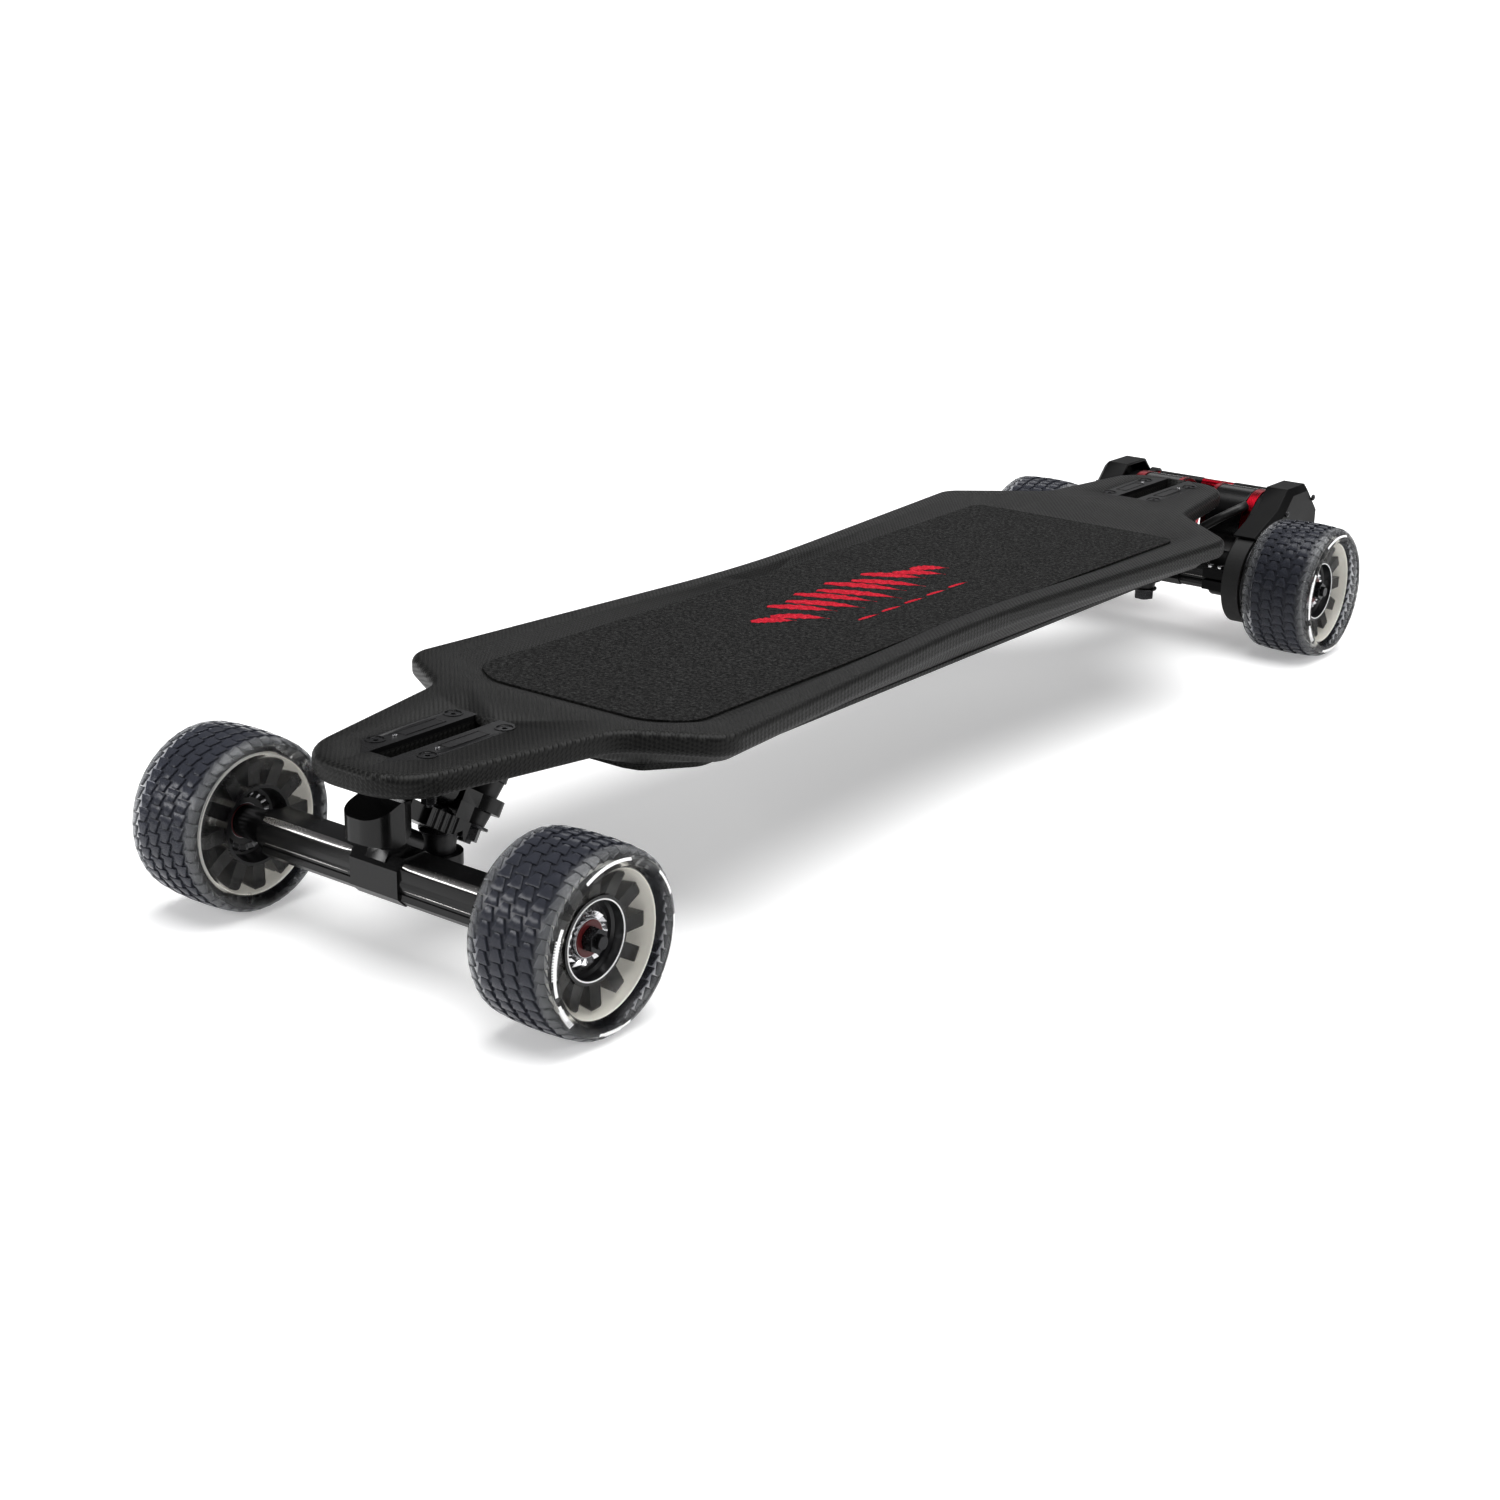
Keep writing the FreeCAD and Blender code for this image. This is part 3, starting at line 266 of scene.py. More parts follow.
class Finish:
    """A material with a Principled shader, and short ways to add nodes to it."""

    def __init__(self, name, colour, roughness, metallic=0.0, specular=0.5):
        self.material = bpy.data.materials.new(name)
        self.material.use_nodes = True
        self.material.diffuse_color = (*colour, 1.0)
        self.tree = self.material.node_tree
        self.shader = self.tree.nodes["Principled BSDF"]
        self.set("Base Color", (*colour, 1.0))
        self.set("Roughness", roughness)
        self.set("Metallic", metallic)
        self.set("Specular IOR Level", specular)
        coordinates = self.tree.nodes.new("ShaderNodeTexCoord")
        self.place = coordinates.outputs["Object"]

    def set(self, socket, value):
        self.shader.inputs[socket].default_value = value

    def join(self, value, socket):
        """Links an output to a socket, or sets the socket when the value is a number or a colour."""
        if isinstance(value, bpy.types.NodeSocket):
            self.tree.links.new(value, socket)
        else:
            socket.default_value = value

    def drive(self, socket, value):
        self.join(value, self.shader.inputs[socket])

    def math(self, operation, a, b=0.0):
        node = self.tree.nodes.new("ShaderNodeMath")
        node.operation = operation
        self.join(a, node.inputs[0])
        self.join(b, node.inputs[1])
        return node.outputs[0]

    def xyz(self):
        node = self.tree.nodes.new("ShaderNodeSeparateXYZ")
        self.tree.links.new(self.place, node.inputs[0])
        return node.outputs[0], node.outputs[1], node.outputs[2]

    def noise(self, scale, detail=2.0, roughness=0.5, stretch=None):
        node = self.tree.nodes.new("ShaderNodeTexNoise")
        node.inputs["Scale"].default_value = scale
        node.inputs["Detail"].default_value = detail
        node.inputs["Roughness"].default_value = roughness
        place = self.place
        if stretch:
            mapping = self.tree.nodes.new("ShaderNodeMapping")
            mapping.inputs["Scale"].default_value = stretch
            self.tree.links.new(place, mapping.inputs[0])
            place = mapping.outputs[0]
        self.tree.links.new(place, node.inputs["Vector"])
        return node.outputs["Fac"]

    def spread(self, value, low, high, to_low=0.0, to_high=1.0):
        """Maps a value from one range to another, and clamps it."""
        node = self.tree.nodes.new("ShaderNodeMapRange")
        self.join(value, node.inputs["Value"])
        node.inputs["From Min"].default_value = low
        node.inputs["From Max"].default_value = high
        node.inputs["To Min"].default_value = to_low
        node.inputs["To Max"].default_value = to_high
        return node.outputs[0]

    def mix(self, factor, first, second):
        """A colour between two colours."""
        node = self.tree.nodes.new("ShaderNodeMix")
        node.data_type = "RGBA"
        self.join(factor, node.inputs["Factor"])
        for value, socket in ((first, node.inputs[MIX_FIRST]), (second, node.inputs[MIX_SECOND])):
            self.join(value if isinstance(value, bpy.types.NodeSocket) else (*value, 1.0), socket)
        return node.outputs[MIX_RESULT]

    def bump(self, height, distance, strength=1.0):
        node = self.tree.nodes.new("ShaderNodeBump")
        node.inputs["Distance"].default_value = distance
        node.inputs["Strength"].default_value = strength
        self.join(height, node.inputs["Height"])
        self.tree.links.new(node.outputs[0], self.shader.inputs["Normal"])


FINISHES = {}

# %% [markdown]
# ### Carbon cloth
# The deck is laid up from carbon cloth in plain weave: tows about 2 mm wide pass over one and under
# one, like a chessboard of small cushions. The pattern follows X and Y on the flat faces. On the rims
# and the belly's slopes the height is added, so that the tows run over the edge and don't smear.

# %% Carbon
TOW_WIDTH = 1.9 * MM
RIM_SHARE = 0.7  # how much of the height is added on the rims
DECK_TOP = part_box("deck_shell")[1].z


def carbon_finish():
    finish = Finish("carbon_weave", (0.01, 0.01, 0.01), 0.42, specular=0.24)
    x, y, z = finish.xyz()
    drop = finish.math("MULTIPLY", finish.math("SUBTRACT", z, DECK_TOP), RIM_SHARE)
    across = finish.math("ADD", x, finish.math("MULTIPLY", drop, finish.math("SIGN", x)))
    along = finish.math("ADD", y, finish.math("MULTIPLY", drop, finish.math("SIGN", y)))
    u = finish.math("DIVIDE", across, TOW_WIDTH)
    v = finish.math("DIVIDE", along, TOW_WIDTH)
    step = finish.math("ADD", finish.math("FLOOR", u), finish.math("FLOOR", v))
    over = finish.math("LESS_THAN", finish.math("FLOORED_MODULO", step, 2.0), 0.5)
    warp = finish.math("SINE", finish.math("MULTIPLY", finish.math("FRACT", u), math.pi))
    weft = finish.math("SINE", finish.math("MULTIPLY", finish.math("FRACT", v), math.pi))
    under = finish.math("SUBTRACT", 1.0, over)
    height = finish.math("ADD", finish.math("MULTIPLY", warp, over), finish.math("MULTIPLY", weft, under))
    cloud = finish.noise(14.0, 3.0)
    # The tows that lie over are painted lighter than those under: a painted sheen for the light that
    # catches tows running one way. The cloud adds random tone.
    tone = finish.math("ADD", finish.math("MULTIPLY", over, 0.7), finish.math("MULTIPLY", cloud, 0.4))
    finish.drive("Base Color", finish.mix(tone, (0.004, 0.004, 0.004), (0.017, 0.017, 0.016)))
    finish.drive("Roughness", finish.spread(tone, 0.0, 1.15, 0.38, 0.50))
    finish.bump(height, 0.3 * MM, 0.6)
    return finish.material


FINISHES["carbon"] = carbon_finish()

# %% [markdown]
# ### Grip, rubber and plastic
# The grip is crushed grit in black resin: a fine noise gives the lumps, and only its brightest grains
# sparkle. Rubber and moulded plastic get a soft grain in colour, roughness and bump.

# %% Grip, rubber and plastic


def grip_finish(name, dark, light):
    finish = Finish(name, dark, 0.75, specular=0.15)
    grit = finish.noise(1500.0, 2.0, 0.6)
    coarse = finish.noise(420.0, 2.0, 0.55)
    grains = finish.math("ADD", finish.math("MULTIPLY", grit, 0.6), finish.math("MULTIPLY", coarse, 0.4))
    finish.drive("Base Color", finish.mix(finish.spread(grains, 0.44, 0.64), dark, light))
    finish.drive("Roughness", finish.spread(grains, 0.42, 0.66, 0.9, 0.45))
    finish.bump(grains, 1.0 * MM, 0.8)
    return finish.material


def grained_finish(name, colour, roughness, grain=900.0, depth=0.05, metallic=0.0, contrast=0.35,
                   specular=0.5):
    """A plain material with a fine grain in its colour, gloss and surface."""
    finish = Finish(name, colour, roughness, metallic, specular)
    speckle = finish.noise(grain, 3.0)
    cloud = finish.noise(30.0, 2.0)
    tone = finish.math("ADD", finish.math("MULTIPLY", speckle, 0.5), finish.math("MULTIPLY", cloud, 0.5))
    darker = tuple(c * (1.0 - contrast) for c in colour)
    lighter = tuple(min(1.0, c * (1.0 + contrast)) for c in colour)
    finish.drive("Base Color", finish.mix(finish.spread(tone, 0.3, 0.7), darker, lighter))
    finish.drive("Roughness", finish.spread(tone, 0.3, 0.7, roughness * 0.85, min(1.0, roughness * 1.15)))
    finish.bump(speckle, depth * MM, 0.5)
    FINISHES[name] = finish.material
    return finish.material


FINISHES["grip"] = grip_finish("grip_grit", (0.003, 0.003, 0.003), (0.045, 0.045, 0.044))
FINISHES["grip_red"] = grip_finish("grip_red_print", (0.34, 0.006, 0.020), (0.72, 0.026, 0.056))
grained_finish("seal_rubber", (0.012, 0.012, 0.012), 0.7)
grained_finish("belt_rubber", (0.016, 0.016, 0.016), 0.65)
FINISHES["cover_laminate"] = FINISHES["carbon"]
grained_finish("cell_sleeve", (0.02, 0.16, 0.22), 0.35, 300.0)
grained_finish("holder_plastic", (0.02, 0.02, 0.02), 0.5)
grained_finish("circuit_board", (0.01, 0.10, 0.04), 0.4, 500.0)
grained_finish("cable_jacket", (0.010, 0.010, 0.010), 0.42, 700.0)
grained_finish("port_plastic", (0.015, 0.015, 0.016), 0.5)
grained_finish("bushing_urethane", (0.012, 0.012, 0.013), 0.38, 250.0)
grained_finish("cup_urethane", (0.014, 0.014, 0.015), 0.42, 250.0)
grained_finish("belt_cover_black", (0.004, 0.004, 0.0042), 0.42, 1200.0, 0.04, specular=0.14)
grained_finish("print_white", (0.88, 0.88, 0.88), 0.5, 900.0, 0.02, contrast=0.08)

# %% [markdown]
# ### Metals
# Truck castings are anodised black with a fine bead-blasted tooth. Pins and nuts are darker steel, and
# the motor's end rings are red anodised aluminium, turned on a lathe, so fine rings run around them.

# %% Metals


def turned_finish(name, colour, roughness, metallic=1.0, pitch=0.35 * MM, depth=0.02):
    """Metal turned about an X axis: faint rings follow one another along X."""
    finish = Finish(name, colour, roughness, metallic)
    x, _, _ = finish.xyz()
    rings = finish.math("SINE", finish.math("MULTIPLY", x, 2.0 * math.pi / pitch))
    streaks = finish.noise(1.0, 3.0, 0.6, (1800.0, 60.0, 60.0))
    tone = finish.spread(streaks, 0.3, 0.7)
    darker = tuple(c * 0.75 for c in colour)
    finish.drive("Base Color", finish.mix(tone, darker, colour))
    finish.drive("Roughness", finish.spread(streaks, 0.3, 0.7, roughness * 0.8, roughness * 1.25))
    finish.bump(rings, depth * MM, 0.25)
    FINISHES[name] = finish.material


grained_finish("truck_black", (0.006, 0.006, 0.0063), 0.24, 1600.0, 0.02, specular=0.4)
grained_finish("mount_black", (0.003, 0.003, 0.0032), 0.32, 1600.0, 0.02, specular=0.16)
grained_finish("black_plate", (0.007, 0.007, 0.0075), 0.30, 1800.0, 0.03, specular=0.35)
grained_finish("black_screws", (0.025, 0.025, 0.027), 0.28, 900.0, 0.02, 0.6)
grained_finish("kingpin_steel", (0.05, 0.05, 0.053), 0.28, 900.0, 0.02, 0.8)
grained_finish("axle_steel", (0.03, 0.03, 0.032), 0.26, 900.0, 0.02, 0.8)
turned_finish("bearing_steel", (0.45, 0.45, 0.46), 0.22)
grained_finish("bright_steel", (0.62, 0.62, 0.63), 0.18, 900.0, 0.02, 1.0, 0.15)
turned_finish("pulley_alloy", (0.09, 0.09, 0.095), 0.35)
turned_finish("red_anodised", (0.32, 0.006, 0.018), 0.28)
grained_finish("motor_black", (0.005, 0.005, 0.0053), 0.22, 1600.0, 0.01, specular=0.35)
grained_finish("controller_alloy", (0.10, 0.10, 0.10), 0.4, 600.0, 0.03, 0.9)
turned_finish("button_alloy", (0.06, 0.06, 0.065), 0.3)
grained_finish("winding_copper", (0.60, 0.22, 0.08), 0.35, 400.0, 0.1, 1.0)
# Bright metal for the strips on the hangers' chamfers and grooves: a painted highlight.
grained_finish("painted_edge_highlight", (0.46, 0.45, 0.44), 0.26, 900.0, 0.02, 1.0, 0.15)
grained_finish("bearing_red", (0.10, 0.008, 0.010), 0.4, 900.0, 0.03)

# %% [markdown]
# ### Urethane and core
# The tyre is smoky see-through urethane: half clear on the tread, nearly clear at the shoulders and clear
# over the dish. Its colour is dark on the tread, the urethane's smoky tint with painted shade from the core
# behind it, and pale at the shoulders, painted light that passes through the thin urethane there. Volume
# scattering could do this, but it takes long to render cleanly. So this is plain transmission, and its
# colour and clarity follow an attribute that holds each point's place on the wheel, so that all four tyres
# match. The milky finish goes on a liner inside the tyre, and gives off a little light in place of what
# urethane scatters: a painted glow.

# %% Urethane
HUB_ATTRIBUTE = "hub_place"
DISH_CLARITY = 1.0
MILKY_GLOW = 0.24
TREAD_STARTS = (46.5 * MM, 48.5 * MM)
EDGE_STARTS = (22.0 * MM, 32.0 * MM)
TREAD_CLARITY = (0.55, 0.96)
DISH_IOR, TREAD_IOR = 1.10, 1.16


def urethane_finish(name, tread_tint_and_shade, painted_edge_light, dish_colour):
    finish = Finish(name, tread_tint_and_shade, 0.2)
    finish.set("Coat Weight", 0.3)
    finish.set("Coat Roughness", 0.24)
    hub = finish.tree.nodes.new("ShaderNodeAttribute")
    hub.attribute_name = HUB_ATTRIBUTE
    finish.place = hub.outputs["Vector"]
    x, y, z = finish.xyz()
    squares = finish.math("ADD", finish.math("MULTIPLY", y, y), finish.math("MULTIPLY", z, z))
    radius = finish.math("SQRT", squares)
    on_tread = finish.spread(radius, *TREAD_STARTS)
    cloud = finish.noise(45.0, 3.0)
    station = finish.math("ADD", finish.math("ABSOLUTE", x), finish.math("MULTIPLY", cloud, 6.0 * MM))
    # The shoulders are painted pale: painted light passing through thin urethane. The middle of the tread
    # keeps the dark colour: the smoky tint with painted shade from the core behind it.
    edge_light_mask = finish.spread(station, *EDGE_STARTS)
    tread = finish.mix(edge_light_mask, tread_tint_and_shade, painted_edge_light)
    finish.drive("Base Color", finish.mix(on_tread, dish_colour, tread))
    clear_tread = finish.spread(edge_light_mask, 0.0, 1.0, *TREAD_CLARITY)
    darker = finish.math("MULTIPLY", on_tread, finish.math("SUBTRACT", DISH_CLARITY, clear_tread))
    finish.drive("Transmission Weight", finish.math("SUBTRACT", DISH_CLARITY, darker))
    finish.drive("IOR", finish.spread(on_tread, 0.0, 1.0, DISH_IOR, TREAD_IOR))
    finish.drive("Roughness", finish.math("ADD", finish.spread(on_tread, 0.0, 1.0, 0.24, 0.16),
                                          finish.math("MULTIPLY", cloud, 0.05)))
    return finish.material


def glow_liner_finish():
    """A pale grained plastic that gives off a little warm light: a painted glow in place of what urethane
    scatters.
    """
    material = grained_finish("painted_glow_urethane", (0.80, 0.79, 0.74), 0.5, 60.0, 0.02, contrast=0.1)
    shader = material.node_tree.nodes["Principled BSDF"]
    shader.inputs["Emission Color"].default_value = (1.0, 0.98, 0.92, 1.0)
    shader.inputs["Emission Strength"].default_value = MILKY_GLOW


# Dark tread (smoky tint with painted shade), pale shoulders (painted light) and the dish.
FINISHES["smoky_urethane"] = urethane_finish(
    "smoky_urethane", (0.085, 0.090, 0.112), (0.66, 0.67, 0.68), (0.92, 0.91, 0.88))
glow_liner_finish()
grained_finish("core_plastic", (0.006, 0.006, 0.007), 0.3, 600.0, 0.02)
print("finishes:", len(FINISHES))

# %% [markdown]
# ## Pieces from the CAD model
# CAD faces arrive as loose triangles, so light breaks at every one of them. A merged copy can be
# shaded smooth up to real corners. Where a casting or a moulding has real edges, its flat faces are
# joined again and a small bevel is added: that thin bright line is what makes an edge look machined.

# %% Carry over a CAD shape
SLOT_OF = {part["node"]: part["material_slot"] for part in frame["record"]["subparts"]}
BODY_OF = {name: node["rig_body"] for name, node in frame["nodes"].items()}


def dress(piece, node, finish=None):
    """The piece takes over a CAD node: its body, its slot and its finish."""
    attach(piece, BODY_OF[node])
    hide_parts(node)
    piece.data.materials.clear()
    piece.data.materials.append(FINISHES[finish or SLOT_OF[node]])
    return piece


def merged_copy(node):
    bm = bmesh.new()
    bm.from_mesh(frame["nodes"][node].data)
    bmesh.ops.remove_doubles(bm, verts=bm.verts, dist=0.004 * MM)
    return bm


def carry_over(node, bevel=0.0, finish=None, angle=32.0):
    bm = merged_copy(node)
    if bevel:
        bmesh.ops.dissolve_limit(bm, angle_limit=math.radians(1.0), verts=bm.verts, edges=bm.edges)
    piece = new_object(node + "_finished", bm)
    shade(piece, angle)
    if bevel:
        edge = piece.modifiers.new("edge", "BEVEL")
        edge.width = bevel * MM
        edge.segments = 2
        edge.limit_method = "ANGLE"
        edge.angle_limit = math.radians(angle)
        edge.harden_normals = True
    return dress(piece, node, finish)


print("slots:", len(set(SLOT_OF.values())))

# %% [markdown]
# ## Deck, grip and hardware
# The deck is one hollow moulding, so its copy is only merged and smoothed: the rounded rims are already
# in the shape. Bolts and truck parts get a bevel as well. The washer plates don't, because with one they
# shaded in blotches.

# %% Deck and truck shapes
carry_over("deck_shell")
carry_over("grip_tape", bevel=0.25)
for node in ("bottom_cover", "truck_bolts", "cover_screws", "power_button",
             "charge_port_cap", "base_kingpins"):
    carry_over(node, bevel=0.2)
carry_over("truck_washer_plates", angle=12.0)
for node in ("cover_gasket", "charge_port", "cable_glands"):
    carry_over(node)
for end in ("front", "rear"):
    carry_over(end + "_hanger", bevel=0.5)
    carry_over(end + "_yoke", bevel=1.0)
    carry_over(end + "_baseplate", bevel=1.0)
    carry_over(end + "_axle", bevel=0.4)
    carry_over(end + "_axle_nuts", bevel=0.3)
    carry_over(end + "_yoke_kingpin", bevel=0.3)
    for part in ("_base_bushings", "_yoke_bushings", "_yoke_pivot_cup"):
        carry_over(end + part, bevel=0.5)
    carry_over(end + "_wheel_bearings", bevel=0.2)
for node in ("motor_mounts", "motor_flanges", "belt_covers"):
    carry_over(node, bevel=0.5)
carry_over("tie_bar", bevel=0.4)
carry_over("drive_belts")
for side in ("left", "right"):
    carry_over(side + "_motor_can", bevel=0.6)
    carry_over(side + "_motor_pulley")
    carry_over(side + "_wheel_pulley")
INNER_NODES = ("battery_cells", "cell_holders", "battery_management_board", "motor_controller",
               "battery_leads", "base_pivot_cups", "motor_stators")
for node in INNER_NODES:
    mesh = frame["nodes"][node].data
    mesh.materials.clear()
    mesh.materials.append(FINISHES[SLOT_OF[node]])
print("inner parts with a new finish:", len(INNER_NODES))

# %% [markdown]
# ## Plate details
# Each washer plate carries a ring round its bolts, a small bright screw and an empty label frame. They
# aren't in the CAD model, but the eye looks for them. They could be bump in the plate's finish,
# but a real edge catches light from every side, so they are small spun and inset shapes.

# %% Small shapes


def ring_bm(centre, outer, inner, height, segments=32):
    """A flat ring standing up from a point, about Z."""
    bm = bmesh.new()
    corners = [(inner, 0.0, 0.0), (outer, 0.0, 0.0), (outer, 0.0, height), (inner, 0.0, height)]
    full_spin(bm, corners, (0, 0, 1), segments)
    bmesh.ops.translate(bm, vec=centre, verts=bm.verts)
    return bm


def socket_screw_bm(radius, height, socket, sides=32):
    """A round screw head with a hexagon socket, standing on the origin and facing +Z."""
    bm = bmesh.new()
    bmesh.ops.create_cone(bm, cap_ends=True, segments=sides, radius1=radius, radius2=radius, depth=height)
    bmesh.ops.translate(bm, vec=(0, 0, height / 2), verts=bm.verts)
    top = max(bm.faces, key=lambda f: f.calc_center_median().z)
    bmesh.ops.bevel(bm, geom=top.edges[:], offset=radius * 0.16, segments=2, profile=0.5, affect="EDGES",
                    material=-1)
    top = max(bm.faces, key=lambda f: (round(f.calc_center_median().z, 7), len(f.verts)))
    bmesh.ops.inset_region(bm, faces=[top], thickness=radius - socket - radius * 0.16, depth=0.0)
    bmesh.ops.inset_region(bm, faces=[top], thickness=0.02 * MM, depth=-height * 0.55)
    return bm


def frame_bm(centre, width, length, border, height):
    """A rectangular raised border lying flat, made by insetting a plate and sinking its middle."""
    bm = bmesh.new()
    bmesh.ops.create_cube(bm, size=1.0)
    bmesh.ops.scale(bm, vec=(width, length, height), verts=bm.verts)
    top = max(bm.faces, key=lambda f: f.calc_center_median().z)
    bmesh.ops.inset_region(bm, faces=[top], thickness=border, depth=0.0)
    bmesh.ops.inset_region(bm, faces=[top], thickness=height * 0.5, depth=-height * 0.9)
    bmesh.ops.translate(bm, vec=centre, verts=bm.verts)
    return bm


def small_piece(name, bm, body, finish, angle=35.0):
    piece = new_object(name, bm)
    shade(piece, angle)
    piece.data.materials.append(FINISHES[finish])
    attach(piece, body)
    return piece


# %% Details on the washer plates
FRONT_AXLE = (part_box("front_axle")[0].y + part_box("front_axle")[1].y) / 2
REAR_AXLE = (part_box("rear_axle")[0].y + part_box("rear_axle")[1].y) / 2
AXLE_HEIGHT = (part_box("front_axle")[0].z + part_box("front_axle")[1].z) / 2
PLATE_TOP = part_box("truck_washer_plates")[1].z
BOLT_ACROSS = 20.65 * MM
BOLT_ALONG = (10.5 * MM, 72.8 * MM)
SMALL_SCREW = (17.0 * MM, 22.0 * MM)
LABEL = (17.4 * MM, 43.0 * MM)
print("axles:", round(FRONT_AXLE, 5), round(REAR_AXLE, 5), "height", round(AXLE_HEIGHT, 5))


def inboard(end, x, distance):
    """A point beside the deck's middle line, by its distance inboard of that end's axle."""
    y = FRONT_AXLE + distance if end == "front" else REAR_AXLE - distance
    return Vector((x, y, PLATE_TOP))


bosses = bmesh.new()
labels = bmesh.new()
small_screws = bmesh.new()
for end in ("front", "rear"):
    for sign in (1, -1):
        for along in BOLT_ALONG:
            place = inboard(end, sign * BOLT_ACROSS, along)
            append_bmesh(bosses, ring_bm(place, 6.1 * MM, 5.15 * MM, 0.35 * MM))
        place = inboard(end, sign * LABEL[0], LABEL[1])
        append_bmesh(labels, frame_bm(place, 9.0 * MM, 33.0 * MM, 0.8 * MM, 0.6 * MM))
        screw = socket_screw_bm(1.5 * MM, 0.8 * MM, 0.6 * MM, 20)
        place = inboard(end, sign * SMALL_SCREW[0], SMALL_SCREW[1])
        bmesh.ops.translate(screw, vec=place, verts=screw.verts)
        append_bmesh(small_screws, screw)
small_piece("bolt_bosses", bosses, "deck", "black_plate")
small_piece("plate_labels", labels, "deck", "black_plate")
small_piece("small_plate_screws", small_screws, "deck", "bright_steel")
print("plate details on", round(PLATE_TOP / MM, 1), "mm")

# %% [markdown]
# ### Painted highlights
# The hanger arms are black castings, and their chamfers and a groove catch bright highlights, which are
# painted here. A highlight could be a second finish on a CAD face, but then it would be as wide as the
# face.
# So each one is a bright rounded bar that is nearly as flat as a ribbon, laid on the chamfer and in the
# groove.

# %% Painted highlights on the hangers


def highlight_bar(start, length, width, thickness, tilt):
    """A painted highlight with rounded ends along X: a bright cylinder flattened and turned onto its face.
    """
    bm = bmesh.new()
    bmesh.ops.create_cone(bm, cap_ends=True, segments=16, radius1=0.5, radius2=0.5, depth=1.0)
    ends = [f for f in bm.faces if len(f.verts) > 4]
    bmesh.ops.bevel(bm, geom=[e for f in ends for e in f.edges], offset=0.2, segments=2, profile=0.5,
                    affect="EDGES", material=-1)
    bmesh.ops.rotate(bm, cent=(0, 0, 0), matrix=Matrix.Rotation(math.pi / 2, 3, "Y"), verts=bm.verts)
    bmesh.ops.scale(bm, vec=(length, width, thickness), verts=bm.verts)
    bmesh.ops.rotate(bm, cent=(0, 0, 0), matrix=Matrix.Rotation(tilt, 3, "X"), verts=bm.verts)
    bmesh.ops.translate(bm, vec=start, verts=bm.verts)
    return bm


ARM_START = 20.5  # in millimetres, like the reach
ARM_REACH = {"front": 95.0, "rear": 46.0}
CHAMFER = (10.5 * MM, 11.5 * MM)
GROOVE_LINE = (12.4 * MM, 2.6 * MM)
for end, axle_y in (("front", FRONT_AXLE), ("rear", REAR_AXLE)):
    lines = bmesh.new()
    reach = ARM_REACH[end]
    for side in (1, -1):
        for face in (1, -1):
            middle = side * (ARM_START + reach) / 2 * MM
            length = (reach - ARM_START) * MM
            chamfer = Vector((middle, axle_y + face * CHAMFER[0], AXLE_HEIGHT + CHAMFER[1]))
            append_bmesh(lines, highlight_bar(chamfer, length, 4.6 * MM, 0.7 * MM, -face * math.pi / 4))
            groove = Vector((middle, axle_y + face * GROOVE_LINE[0], AXLE_HEIGHT - GROOVE_LINE[1]))
            append_bmesh(lines, highlight_bar(groove, length, 0.9 * MM, 0.9 * MM, 0.0))
    small_piece(end + "_hanger_highlights", lines, end + "_hanger", "painted_edge_highlight")
    print(end, "hanger lines:", round(length / MM, 1), "mm long")

# %% [markdown]
# ### Grip print
# The print is an abstract rank of slanting brush strokes over a broken line. It could be a mask in the
# grip's finish, but a stroke is easier to shape as a mesh: a grid strip is bent, tapered and given a
# hair of thickness, so it lies on the grit as paint does.

# %% Grip print
PRINT_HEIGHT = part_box("grip_tape")[1].z
PRINT_ORIGIN = Vector((0.0, -0.022, PRINT_HEIGHT))
PRINT_THICKNESS = 0.15 * MM


def stroke(target, start, end, width, bend, steps=14):
    """A tapered brush stroke from start to end, in millimetres on the grip, bowed sideways by bend."""
    bm = bmesh.new()
    bmesh.ops.create_grid(bm, x_segments=steps, y_segments=1, size=0.5)
    a, b = Vector(start), Vector(end)
    along = (b - a).normalized()
    sideways = Vector((-along.y, along.x))
    for vert in bm.verts:
        t, side = vert.co.x + 0.5, vert.co.y * 2
        taper = (math.sin(math.pi * min(1.0, t * 1.05 + 0.08)) ** 0.6 if t < 0.97 else 0.05)
        ragged = 1.0 + 0.22 * math.sin(37.0 * t + 5.0 * side + start[0])
        spot = a.lerp(b, t) + sideways * (bend * math.sin(math.pi * t) + side * width / 2 * taper * ragged)
        vert.co = PRINT_ORIGIN + Vector((spot.x, spot.y, 0.0)) * MM
    raised = bmesh.ops.extrude_face_region(bm, geom=bm.faces[:])
    tops = [g for g in raised["geom"] if isinstance(g, bmesh.types.BMVert)]
    bmesh.ops.translate(bm, vec=(0, 0, PRINT_THICKNESS), verts=tops)
    bmesh.ops.recalc_face_normals(bm, faces=bm.faces)
    append_bmesh(target, bm)


FAN = ((-98, 22, 0), (-79, 34, 8), (-60, 44, -4), (-41, 52, 2), (-22, 56, -3), (-3, 58, 4), (16, 56, -4),
       (35, 50, 3), (54, 42, -6), (73, 32, 4), (90, 20, 2))
FAN_MIDDLE = -6
SLANT = (-9, 13)
BRUSH = (11.5, 3)  # width and bow
DASH = (3.2, 0.6)
DASH_STARTS = (-56, -28, 0, 28, 56)
STROKES = []
for y, reach, shift in FAN:
    low = (FAN_MIDDLE - reach / 2 + shift, y + SLANT[0])
    high = (FAN_MIDDLE + reach / 2 + shift, y + SLANT[1])
    STROKES.append((low, high, *BRUSH))
for y in DASH_STARTS:
    STROKES.append(((36, y), (38, y + 22), *DASH))
print_bm = bmesh.new()
for start, end, width, bend in STROKES:
    stroke(print_bm, start, end, width, bend)
